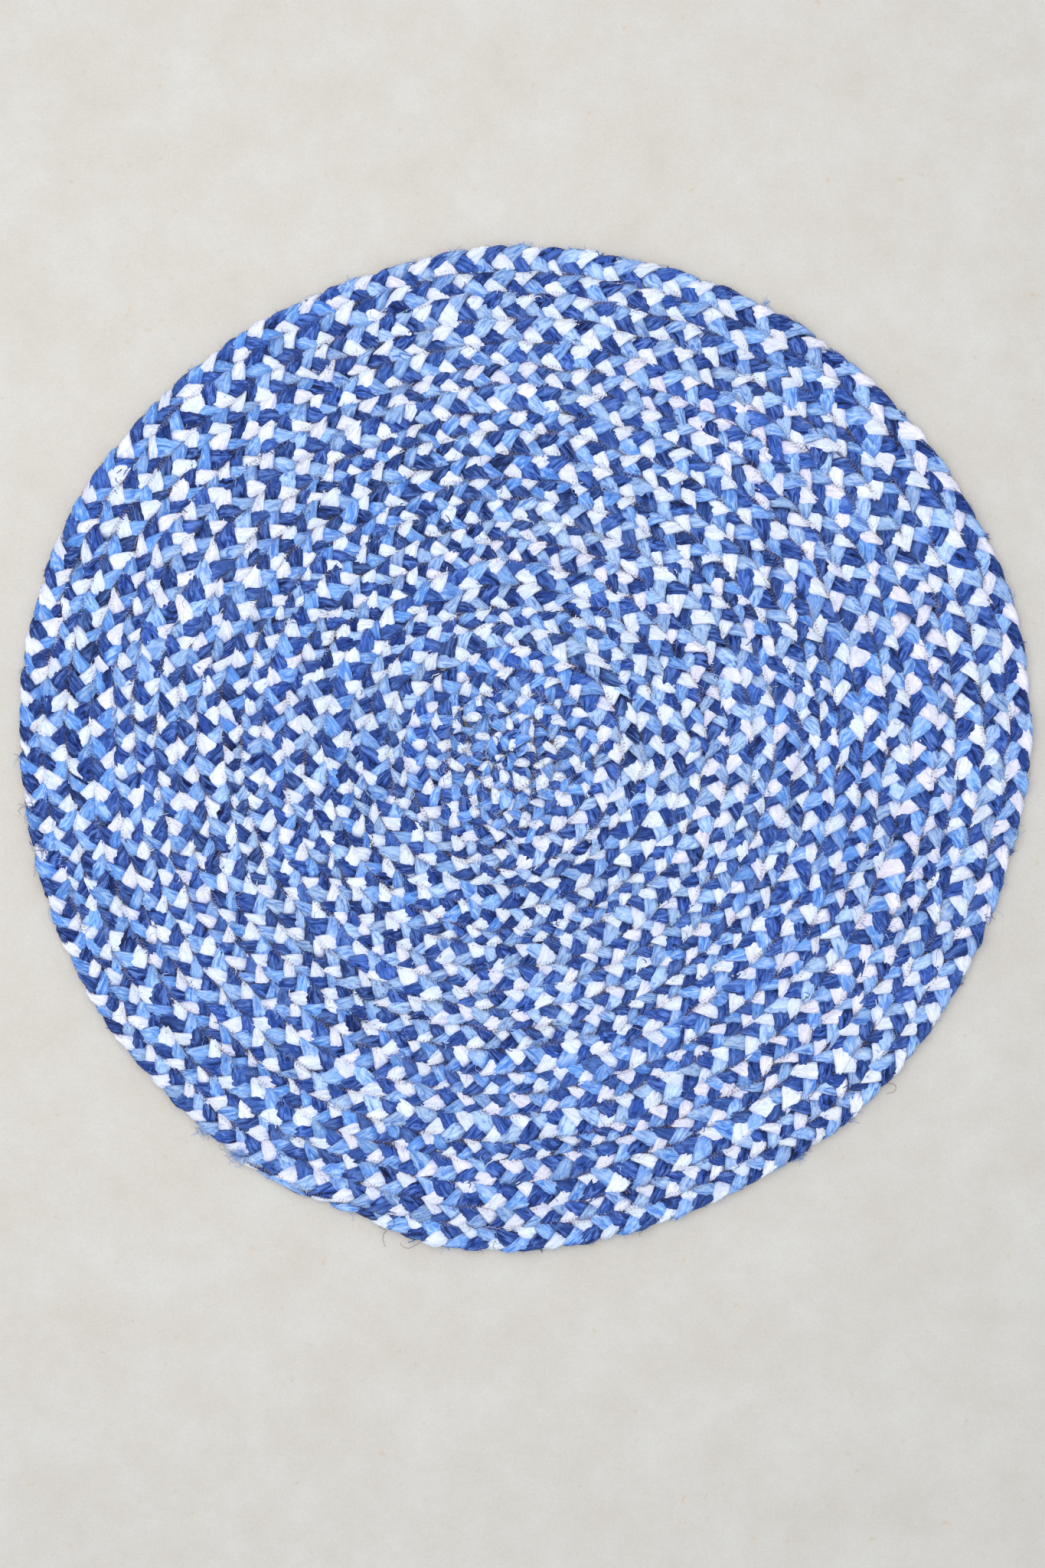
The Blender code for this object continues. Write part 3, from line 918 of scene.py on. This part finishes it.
def needle_holes(tree, sewing):
    """Masks of the sewing's holes and of the puckered cloth along each seam.

    Holes stand at every half stitch, in turn on one side of the seam and the other, each a
    little out of its place and pulled in by its own chance. Stretches of 10 mm or so are sunk.
    The puckers are a sine of the place along the seam, and fade out 4 mm away from it.
    """
    seam = add_node(tree, "SeparateXYZ", add_node(tree, "UVMap", uv_map="at_seam")).node.outputs
    half_stitch = 0.5 * sewing.stitch
    count = add_node(tree, "Math", seam["X"], half_stitch, operation="DIVIDE")
    nearest = add_node(tree, "Math", count, operation="ROUND")
    chance = add_node(tree, "TexWhiteNoise", nearest, noise_dimensions="1D").node.outputs["Color"]
    chance = add_node(tree, "SeparateXYZ", chance).node.outputs
    along = add_node(tree, "Math", count, nearest, operation="SUBTRACT")
    along = add_node(tree, "Math", along, half_stitch, operation="MULTIPLY")
    odd = add_node(tree, "Math", nearest, 2.0, operation="FLOORED_MODULO")
    row = add_node(tree, "MapRange", odd, 0.0, 1.0, -0.5 * sewing.width, 0.5 * sewing.width)
    stray = add_node(tree, "MapRange", chance["Y"], 0.0, 1.0, -HOLE_STRAY, HOLE_STRAY)
    row = add_node(tree, "Math", row, stray, operation="ADD")
    away = add_node(tree, "Math", seam["Y"], row, operation="SUBTRACT")
    gap = add_node(tree, "VectorMath", add_node(tree, "CombineXYZ", along, away),
                   operation="LENGTH")
    hole = add_node(tree, "MapRange", gap, *HOLE_EDGE, 1.0, 0.0, interpolation_type="SMOOTHSTEP")
    pull = add_node(tree, "MapRange", chance["X"], *HOLE_PULL)

    wave = add_node(tree, "Math", count, math.pi, operation="MULTIPLY")
    pucker = add_node(tree, "Math", wave, operation="SINE")
    distance = add_node(tree, "Math", seam["Y"], operation="ABSOLUTE")
    near = add_node(tree, "MapRange", distance, *PUCKER_EDGE, 1.0, 0.0,
                    interpolation_type="SMOOTHSTEP")
    stretch = add_node(tree, "TexNoise", noise_dimensions="1D", W=seam["X"],
                       Scale=STRETCH_SCALE, Detail=2.0)
    shown = add_node(tree, "MapRange", stretch, *STRETCH_SHOWN)
    masks = []
    for mask, share in ((hole, pull), (pucker, near)):
        share = add_node(tree, "Math", share, shown, operation="MULTIPLY")
        masks.append(add_node(tree, "Math", mask, share, operation="MULTIPLY"))
    return masks


def rag_material(name, look, usual_tint):
    """Cotton strip, torn and plaited: matt, creased along its length, each strip its own tint.

    Its colour holds painted shade in creases, needle holes, puckers and hollows, and painted
    highlights on ridges and crinkles.
    """
    material, tree, shader = new_material(
        name, Roughness=0.93, Specular_IOR_Level=0.2, Sheen_Weight=0.12, Sheen_Roughness=0.5)
    uv = add_node(tree, "UVMap", uv_map="along_strip")
    pattern = {key: cloth_pattern(tree, uv, **row) for key, row in CLOTH_PATTERNS.items()}
    marks = add_node(tree, "Attribute", attribute_name="strip_marks").node.outputs["Vector"]
    own_tint, own_lightness, age = add_node(tree, "SeparateXYZ", marks).node.outputs
    hole, pucker = needle_holes(tree, bpy.context.scene.rug_sewing)

    # an old strip is faded in patches
    faded = add_node(tree, "MapRange", pattern["fading"], *FADED)
    faded = add_node(tree, "Math", faded, age, operation="MULTIPLY")
    # not every lobe's creases get as much painted shade
    creased = add_node(tree, "MapRange", pattern["fading"], CREASED["from"], CREASED["to"],
                       look["creased"], CREASED["least"] * look["creased"])
    # painted shade in the creases' valleys and painted highlight on their ridges
    valley, ridge = (
        add_node(tree, "MapRange", pattern["folds"], *edge, interpolation_type="SMOOTHSTEP")
        for edge in (CREASE_SHADE, RIDGE_HIGHLIGHT))
    valley = add_node(tree, "Math", valley, creased, operation="MULTIPLY")
    # painted shade in the valleys of the puckers that the stitches pull into the cloth, and at the
    #     # needle's holes painted shade with a loop of thread; on the dark blue cloth the loop is
    #     light
    drawn = add_node(tree, "MapRange", pucker, 0.0, -1.0, 0.0,
                     PUCKER_SHADE * look["hole_shade_and_thread_share"])
    hole_shade_and_thread = add_node(tree, "Math", hole, look["hole_shade_and_thread_share"], drawn,
                       operation="MULTIPLY_ADD", use_clamp=True)
    # cloth in a hollow between lobes gets less light, through and through
    hollow = add_node(tree, "Attribute", attribute_name="hollow").node.outputs["Fac"]
    hollow = add_node(tree, "MapRange", hollow, *HOLLOW_SHADE, 0.0, look["shaded"])
    colour = add_ramp(tree, own_tint, sorted((*look["tints"], (look["usual_at"], usual_tint))))
    # layers over the strip's tint: its wear, then painted crease shade, painted ridge highlight,
    # painted shade at the needle's holes and puckers, and painted shade in hollows
    for share, layer in ((faded, "worn"), (valley, "deep"), (ridge, "high"),
                         (hole_shade_and_thread, "hole_shade_and_thread"), (hollow, "shade")):
        colour = add_node(tree, "Mix", share, colour, hex_colour(look[layer]), data_type="RGBA")

    # painted light and shade of the crinkles, about the lobe's own lightness by chance
    low, high = (limit - 0.5 * CRINKLE_SHADING * look["creased"] for limit in look["lightness"])
    lightness = add_node(tree, "MapRange", own_lightness, 0.0, 1.0, low, high)
    lightness = add_node(tree, "Math", pattern["crinkle"], CRINKLE_SHADING * look["creased"],
                         lightness, operation="MULTIPLY_ADD")
    colour = add_node(tree, "HueSaturation", Color=colour, Value=lightness)
    tree.links.new(colour, shader.inputs["Base Color"])

    relief = pattern["folds"]
    heights = {**pattern, "pucker": pucker, "hole": hole}
    for key, weight in RELIEF_WEIGHTS.items():
        relief = add_node(tree, "Math", heights[key], weight, relief, operation="MULTIPLY_ADD")
    bump = add_node(tree, "Bump", Strength=look["relief"], Distance=RELIEF, Height=relief)
    tree.links.new(bump, shader.inputs["Normal"])
    return material


def plain_floor_material():
    """Honed pale limestone: matt, softly clouded, with a few tan flecks 3 to 6 mm long."""
    material, tree, shader = new_material(
        "honed_pale_limestone", Roughness=0.75, Specular_IOR_Level=0.2)
    at = add_node(tree, "TexCoord").node.outputs["Object"]
    cloud = add_node(tree, "TexNoise", at, Scale=14.0, Detail=8.0, Roughness=0.72)
    tone = add_ramp(tree, cloud, ((0.3, "#cec7bb"), (0.5, "#d3cdc2"), (0.7, "#d6d3ca")))
    # grain of the stone, drawn as coarse as 2 mm so that it shows
    grain = add_node(tree, "TexNoise", at, Scale=480.0, Detail=2.0, Roughness=0.8)
    grain = add_node(tree, "MapRange", grain, 0.3, 0.7, 0.955, 1.045)
    tone = add_node(tree, "HueSaturation", Color=tone, Value=grain)
    fleck = add_node(tree, "TexNoise", at, Scale=75.0, Detail=2.0, Roughness=0.7)
    fleck = add_node(tree, "MapRange", fleck, 0.66, 0.76, 0.0, 0.40)
    colour = add_node(tree, "Mix", fleck, tone, hex_colour("#cbb08c"), data_type="RGBA")
    tree.links.new(colour, shader.inputs["Base Color"])
    return material


def thread_material(name, colour, tan_colour):
    """Spun sewing thread: fine and matt, with stretches where a tan one was used."""
    material, tree, shader = new_material(name, Roughness=0.7)
    tan = add_node(tree, "Attribute", attribute_name="tan_share").node.outputs["Fac"]
    tree.links.new(add_ramp(tree, tan, ((0.0, colour), (1.0, tan_colour))),
                   shader.inputs["Base Color"])
    return material


def yarn_material(name, colour, shade):
    """Single cotton yarn pulled out of torn cloth: matt and hairy, uneven in tone."""
    material, tree, shader = new_material(name, Roughness=0.9, Specular_IOR_Level=0.2)
    at = add_node(tree, "TexCoord").node.outputs["Object"]
    # tone changes every 5 mm or so
    blotch = add_node(tree, "TexNoise", at, Scale=200.0, Detail=1.0)
    tree.links.new(add_ramp(tree, blotch, ((0.35, shade), (0.6, colour))),
                   shader.inputs["Base Color"])
    return material


# ---------------------------------------------------------------- lying on the cloth

class ClothTop:
    """Height of the plaited cloth's top in small square cells, from the strands' own faces."""

    cell = 0.0006
    half_size = 0.48
    mean_reach = 5      # cells on each side that a mean height takes in

    def __init__(self, surfaces):
        self.count = int(2 * self.half_size / self.cell)
        heights = np.zeros(self.count * self.count)
        for points in surfaces:
            self.add_surface(heights, points)
        grid = heights.reshape(self.count, self.count)
        for _ in range(2):      # cells that no sample fell in take their highest neighbour
            padded = np.pad(grid, 1)
            around = np.maximum.reduce([padded[1:-1, :-2], padded[1:-1, 2:],
                                        padded[:-2, 1:-1], padded[2:, 1:-1]])
            grid = np.where(grid == 0.0, around, grid)
        self.grid = grid
        self.mean = self.mean_about(grid)

    def mean_about(self, grid):
        """Mean of each cell's square of neighbours, from the grid's running sums."""
        reach = self.mean_reach
        wide = 2 * reach + 1
        sums = np.pad(grid, ((reach + 1, reach), (reach + 1, reach)), mode="edge")
        sums = np.cumsum(np.cumsum(sums, axis=0), axis=1)
        return (sums[wide:, wide:] - sums[:-wide, wide:] - sums[wide:, :-wide]
                + sums[:-wide, :-wide]) / wide**2

    def add_surface(self, heights, points, steps=8):
        """Samples each face of a tube at steps by steps places and keeps the highest in a cell."""
        here = points[:-1]
        ahead = points[1:]
        for i in range(steps):
            row = here + (ahead - here) * (i / steps)
            beside = np.roll(row, -1, axis=1)
            for j in range(steps):
                place = row + (beside - row) * (j / steps)
                index = ((place[..., :2] + self.half_size) / self.cell).astype(int)
                np.maximum.at(heights, (index[..., 1] * self.count + index[..., 0]).ravel(),
                              place[..., 2].ravel())

    def cells_at(self, x, y):
        column = np.clip(((x + self.half_size) / self.cell).astype(int), 0, self.count - 1)
        row = np.clip(((y + self.half_size) / self.cell).astype(int), 0, self.count - 1)
        return row, column

    def height(self, x, y):
        return self.grid[self.cells_at(x, y)]

    def mean_height(self, x, y):
        return self.mean[self.cells_at(x, y)]


class LaidPlait:
    """The plait as it lies on the rug: its coil, its stations, its strands' tubes, their top."""

    def __init__(self, scene):
        self.coil = Coil(scene.rug_coil)
        self.crossing, self.turn, self.length = plait_stations(self.coil, scene.rug_plait)
        self.tubes = [strand_surface(self.coil, scene.rug_plait, strand, self.crossing,
                                     self.turn, self.length) for strand in STRANDS]
        self.cloth = ClothTop([points + self.coil.centre for points, _, _ in self.tubes])


def zigzag_line(laid, sewing):
    """The thread's corners: every half stitch along the seam, on one side of it and the other.

    A corner stands half the zigzag's width off the seam, a little uneven, and dips into the
    cloth. Between two corners the thread bridges the groove. Smooth chance sinks it out of
    sight in stretches of a few stitches.
    """
    coil, cloth = laid.coil, laid.cloth
    rng = np.random.default_rng(sewing.seed)
    half_stitch = 0.5 * sewing.stitch
    first = math.ceil(coil.seam_length(FIRST_SEWN_TURN) / half_stitch)
    last = math.floor(coil.seam_length(coil.end) / half_stitch)
    number = np.arange(first, last)
    turn = np.interp(number * half_stitch, coil.length, coil.turn)
    sign = np.where(number % 2 == 1, 1.0, -1.0)
    off = 0.5 * sewing.width * sign + CORNERS["stray"] * rng.normal(size=len(number))
    radius = coil.seam(turn) + off
    flat = radius[:, None] * coil.outward(turn) + coil.centre[:2]
    mid = 0.5 * (flat[1:] + flat[:-1])
    under = cloth.height(flat[:, 0], flat[:, 1])
    bridge = cloth.height(mid[:, 0], mid[:, 1]) - 0.5 * (under[1:] + under[:-1])
    lift = np.clip(bridge, 0.0, CORNERS["most_lift"])
    lift = np.maximum(np.append(lift, 0.0), np.insert(lift, 0, 0.0))
    sunk = SUNK["usual"] + SUNK["swing"] * smooth_chance(number / SUNK["corners"], rng)
    sunk = np.clip(sunk, 0.0, 1.0)
    sunk = sunk + SUNK["own"] * np.clip(rng.normal(size=len(number)), 0.0, SUNK["most_own"])
    height = under + lift - CORNERS["seat"] - sewing.sink * sunk
    return np.column_stack((flat, height)), turn


def three_sides():
    """Angles of a three-sided section, the first of them upwards."""
    return math.radians(90.0) + math.tau / 3.0 * np.arange(3)


def yarn_lines(start, heading, length, curl, points, cloth, rng):
    """Lines of loose yarns that lie on the cloth or the floor.

    A line's heading turns evenly by its curl and wanders with smooth chance, its points are the
    sum of its steps, and its height is the cloth's own plus a low arch over its length.
    """
    count = len(start)
    share = np.linspace(0.0, 1.0, points)
    stray = np.cumsum(rng.normal(size=(count, points)), axis=1) * (YARN_WANDER / math.sqrt(points))
    angle = heading[:, None] + curl[:, None] * share + stray
    step = length[:, None] / (points - 1)
    x = start[:, :1] + np.cumsum(np.cos(angle) * step, axis=1)
    y = start[:, 1:2] + np.cumsum(np.sin(angle) * step, axis=1)
    x = np.column_stack((start[:, 0], x[:, :-1]))
    y = np.column_stack((start[:, 1], y[:, :-1]))
    arch = rng.uniform(*YARN_ARCH, count)[:, None] * np.sin(math.pi * share)
    z = cloth.height(x, y) + YARN_CLEAR + arch
    # off the rim a yarn droops by no more than its own slope
    for i in range(1, points):
        z[:, i] = np.maximum(z[:, i], z[:, i - 1] - YARN_DROOP * step[:, 0])
    return np.stack((x, y, z), axis=-1)


def yarns_by_chance(start, heading, usual, cloth, rng):
    """Yarn lines that curl by chance, with lengths from a gamma curve about the usual one."""
    length = usual["length"] * rng.gamma(*YARN_LENGTHS, len(start))
    curl = rng.normal(scale=usual["curl"], size=len(start))
    return yarn_lines(start, heading, length, curl, usual["points"], cloth, rng)


def add_yarns(name, lines, size, material):
    """One piece of many thin yarns or shreds: a triangle carried along each line, and closed."""
    count, points = lines.shape[:2]
    along = np.gradient(lines, axis=1)
    along /= np.linalg.norm(along, axis=2)[..., None]
    side = np.stack((along[..., 1], -along[..., 0], np.zeros((count, points))), axis=-1)
    side /= np.linalg.norm(side, axis=2)[..., None] + 1e-9
    up = np.cross(side, along)
    taper = np.linspace(1.0, YARN_TAPER, points)[:, None, None]
    wide = size["half_width"] * taper * np.cos(three_sides())[:, None]
    high = size["half_height"] * taper * np.sin(three_sides())[:, None]
    rings = lines[:, :, None, :] + wide * side[:, :, None, :] + high * up[:, :, None, :]
    first = (np.arange(count) * points * 3)[:, None, None]
    quads = (first + tube_faces(points, 3)[0]).reshape(-1, 4)
    last = 3 * (points - 1)
    caps = (first + np.array([[2, 1, 0], [last, last + 1, last + 2]])).reshape(-1, 3)
    piece = new_mesh_piece(name, rings.reshape(-1, 3), quads, caps)[0]
    wear_on_rug(piece, material)


def photo_place(pixels):
    """Places on the floor, in metres, of pixels of the photograph."""
    pixels = np.asarray(pixels, dtype=float)
    return (pixels - RUG_MIDDLE_PX) * METRES_PER_PX * np.array((1.0, -1.0))


def shown_places(points, kept, cloth, count, rng):
    """Random places on a strand that show from above, at kept stations, and the way along it.

    More places are drawn than are wanted, and those that lie under the top are left out.
    """
    stations = np.flatnonzero(kept[1:-1]) + 1
    station = rng.choice(stations, DRAWN_FOR_EACH * count)
    column = rng.integers(0, points.shape[1], DRAWN_FOR_EACH * count)
    root = points[station, column]
    ahead = points[station + 1, column] - points[station - 1, column]
    shown = root[:, 2] > cloth.height(root[:, 0], root[:, 1]) - SHOWN_DEPTH
    picked = np.flatnonzero(shown)[:count]
    return root[picked], np.arctan2(ahead[picked, 1], ahead[picked, 0])


# ---------------------------------------------------------------- operators

class RUG_OT_strands(bpy.types.Operator):
    """Makes the three plaited strands, each in an inner and an outer part of the coil"""

    bl_idname = "rug.strands"
    bl_label = "Plaited strands"

    def execute(self, context):
        laid = LaidPlait(context.scene)
        plait = context.scene.rug_plait
        cut = int(INNER_SHARE * len(laid.crossing))
        parts = {"inner": slice(0, cut + 1), "outer": slice(cut, None)}
        for strand, (points, around, phase) in zip(STRANDS, laid.tubes):
            name = strand["name"]
            marks = strip_marks(plait, strand, laid.length, phase)
            pieces = [
                add_strand_piece(f"{name}_strand_{part}", laid, points[rows], around[rows],
                                 laid.turn[rows], laid.length[rows], marks[rows])
                for part, rows in parts.items()]
            if name == TAIL_END["strand"]:
                pieces.append(add_strand_piece(f"{name}_tail_end", laid,
                                               *tail_end_surface(laid.coil, plait)))
            material = rag_material(f"{name}_cotton_rag", RAG_LOOKS[name], getattr(plait, name))
            for piece in pieces:
                wear_on_rug(piece, material)
        return {"FINISHED"}


class RUG_OT_sewing(bpy.types.Operator):
    """Makes the zigzag thread that sews each turn to the next"""

    bl_idname = "rug.sewing"
    bl_label = "Zigzag sewing"

    def execute(self, context):
        sewing = context.scene.rug_sewing
        laid = LaidPlait(context.scene)
        line, turn = zigzag_line(laid, sewing)

        # a mitred three-sided section at each corner: stretched across the seam
        steep = math.atan2(sewing.width, 0.5 * sewing.stitch)
        out = np.column_stack((laid.coil.outward(turn), np.zeros(len(turn))))
        across = sewing.radius / math.cos(steep) * np.cos(three_sides())
        up = sewing.radius * np.sin(three_sides())
        rings = (line[:, None, :] + across[None, :, None] * out[:, None, :]
                 + up[None, :, None] * np.array((0.0, 0.0, 1.0)))
        tan = np.zeros(len(turn))
        for stretch in TAN_STRETCHES:
            tan = np.maximum(tan, (turn >= stretch["start"]) & (turn < stretch["end"]))
        piece = new_mesh_piece("zigzag_sewing", closed_tube_points(rings),
                               *tube_faces(len(rings), 3))[0]
        add_point_values(piece.data, "tan_share", at_tube_points(tan, 3))
        material = thread_material("spun_sewing_thread", sewing.thread, sewing.tan_thread)
        wear_on_rug(piece, material)
        return {"FINISHED"}


class RUG_OT_frays(bpy.types.Operator):
    """Makes the yarns and shreds of the strips' torn edges, and the loose sewing threads"""

    bl_idname = "rug.frays"
    bl_label = "Frayed yarns"

    def execute(self, context):
        frays = context.scene.rug_frays
        laid = LaidPlait(context.scene)
        for strand, (points, _, phase) in zip(STRANDS, laid.tubes):
            self.fray_strand(frays, laid, strand, points + laid.coil.centre, phase)
        rng = np.random.default_rng(frays.seed)
        self.loose_threads(laid.cloth, rng)
        self.hub_ends(frays.hub_ends, laid, rng)
        self.wisps(laid.cloth, rng)
        return {"FINISHED"}

    def fray_strand(self, frays, laid, strand, points, phase):
        """Yarns and shreds that start on a strand: along it, either way, or off the rim."""
        material = yarn_material(*FRAY_COLOURS[strand["name"]])
        for number, kind in enumerate(FRAYS):
            rng = np.random.default_rng(frays.seed + strand["seed"] + 100 * number)
            folded = np.abs(np.cos(phase)) > kind["folds_from"]
            kept = folded & (laid.turn > kind["turns_from"])
            count = int(kind["count"] * frays.plenty * strand["frayed"])
            root, heading = shown_places(points, kept, laid.cloth, count, rng)
            if kind["outwards"]:
                heading = np.arctan2(root[:, 1], root[:, 0])
            else:
                heading = heading + math.pi * rng.integers(0, 2, len(root))
            heading = heading + rng.normal(scale=FRAY_FAN, size=len(root))
            lines = yarns_by_chance(root, heading, kind, laid.cloth, rng)
            add_yarns(f"{strand['name']}_{kind['name']}", lines, kind, material)

    def loose_threads(self, cloth, rng):
        """The sewing threads' loose ends, each where the photograph shows it."""
        for kind, rows in LOOSE_THREADS.items():
            at_px, heading, length, curl = (np.array(column) for column in zip(*rows))
            lines = yarn_lines(photo_place(at_px), np.radians(heading), length, curl,
                               LOOSE_THREAD["points"], cloth, rng)
            add_yarns(f"loose_{kind}_threads", lines, LOOSE_THREAD,
                      yarn_material(*THREAD_COLOURS[kind]))

    def hub_ends(self, count, laid, rng):
        """Ends of thread and yarn that come out of the folded start of the plait."""
        for kind, look in HUB_COLOURS.items():
            angle = rng.uniform(0.0, math.tau, count)
            away = HUB_FRAYS["reach"] * np.sqrt(rng.uniform(0.0, 1.0, count))
            start = np.column_stack((away * np.cos(angle), away * np.sin(angle)))
            heading = rng.uniform(0.0, math.tau, count)
            lines = yarns_by_chance(start + laid.coil.centre[:2], heading, HUB_FRAYS,
                                    laid.cloth, rng)
            add_yarns(f"hub_{kind}_ends", lines, HUB_FRAYS,
                      yarn_material(*look))

    def wisps(self, cloth, rng):
        """Bunches of yarns about their own places at the rim, each in a fan."""
        for kind, rows in WISPS.items():
            lines = []
            for row in (dict(zip(WISP_COLUMNS, row)) for row in rows):
                start = np.repeat(photo_place([row["at_px"]]), row["count"], axis=0)
                start = start + rng.normal(scale=row["spread"], size=start.shape)
                fan = rng.normal(scale=WISP_YARNS["fan"], size=len(start))
                heading = math.radians(row["heading"]) + fan
                lines.append(yarns_by_chance(start, heading, {**WISP_YARNS, **row}, cloth, rng))
            add_yarns(f"{kind}_wisps", np.concatenate(lines), WISP_YARNS,
                      yarn_material(*FRAY_COLOURS[kind]))


class RUG_OT_stage(bpy.types.Operator):
    """Sets the floor, the soft light and the camera over the rug"""

    bl_idname = "rug.stage"
    bl_label = "Stage"

    def execute(self, context):
        stage = context.scene.rug_stage
        scene = context.scene
        half = 0.5 * stage.floor_size
        corners = np.array([(x, y, -FLOOR_GAP) for x, y in (
            (-half, -half), (half, -half), (half, half), (-half, half))])
        floor = new_mesh_piece("floor", corners, np.array([[0, 1, 2, 3]]),
                               np.zeros((0, 3), dtype=int))[0]
        floor.data.materials.append(plain_floor_material())

        world = bpy.data.worlds.new("studio")
        world.use_nodes = True
        background = world.node_tree.nodes["Background"]
        background.inputs["Color"].default_value = stage.sky
        background.inputs["Strength"].default_value = stage.sky_strength
        scene.world = world
        light = bpy.data.lights.new("window", "AREA")
        light.shape = "RECTANGLE"
        light.size = WINDOW["width"]
        light.size_y = WINDOW["depth"]
        light.energy = stage.window_power
        light.color = stage.window[:3]
        lamp = bpy.data.objects.new("window", light)
        lamp.location = WINDOW["at"]
        lamp.rotation_euler = (-Vector(lamp.location)).to_track_quat("-Z", "Y").to_euler()
        scene.collection.objects.link(lamp)

        # the camera looks straight down at the middle of the photograph's frame
        camera = bpy.data.cameras.new("camera")
        eye = bpy.data.objects.new("camera", camera)
        camera.sensor_width = SENSOR_WIDTH
        camera.lens = SENSOR_WIDTH * stage.camera_height / (PHOTO_HEIGHT_PX * METRES_PER_PX)
        aside, away = photo_place((0.5 * PHOTO_WIDTH_PX, 0.5 * PHOTO_HEIGHT_PX))
        eye.location = (aside, away, stage.camera_height)
        scene.collection.objects.link(eye)
        scene.camera = eye
        scene.view_settings.view_transform = "Standard"
        return {"FINISHED"}


class RUG_PT_panel(bpy.types.Panel):
    """Lists the steps that build the rug"""

    bl_label = "Braided rug"
    bl_idname = "RUG_PT_panel"
    bl_space_type = "VIEW_3D"
    bl_region_type = "UI"
    bl_category = "Rug"

    def draw(self, context):
        for step in STEPS:
            self.layout.operator(step.bl_idname)


STEPS = (RUG_OT_strands, RUG_OT_sewing, RUG_OT_frays, RUG_OT_stage)
SETTINGS = (
    ("rug_coil", RugCoilSettings),
    ("rug_plait", RugPlaitSettings),
    ("rug_sewing", RugSewingSettings),
    ("rug_frays", RugFraySettings),
    ("rug_stage", RugStageSettings),
)


def register():
    for name, group in SETTINGS:
        bpy.utils.register_class(group)
        setattr(bpy.types.Scene, name, bpy.props.PointerProperty(type=group))
    for item in (*STEPS, RUG_PT_panel):
        bpy.utils.register_class(item)


def unregister():
    for item in reversed((*STEPS, RUG_PT_panel)):
        bpy.utils.unregister_class(item)
    for name, group in reversed(SETTINGS):
        delattr(bpy.types.Scene, name)
        bpy.utils.unregister_class(group)


def main():
    register()
    bpy.ops.rug.strands()
    bpy.ops.rug.sewing()
    bpy.ops.rug.frays()
    bpy.ops.rug.stage()
    bpy.context.view_layer.update()


if __name__ == "__main__":
    main()
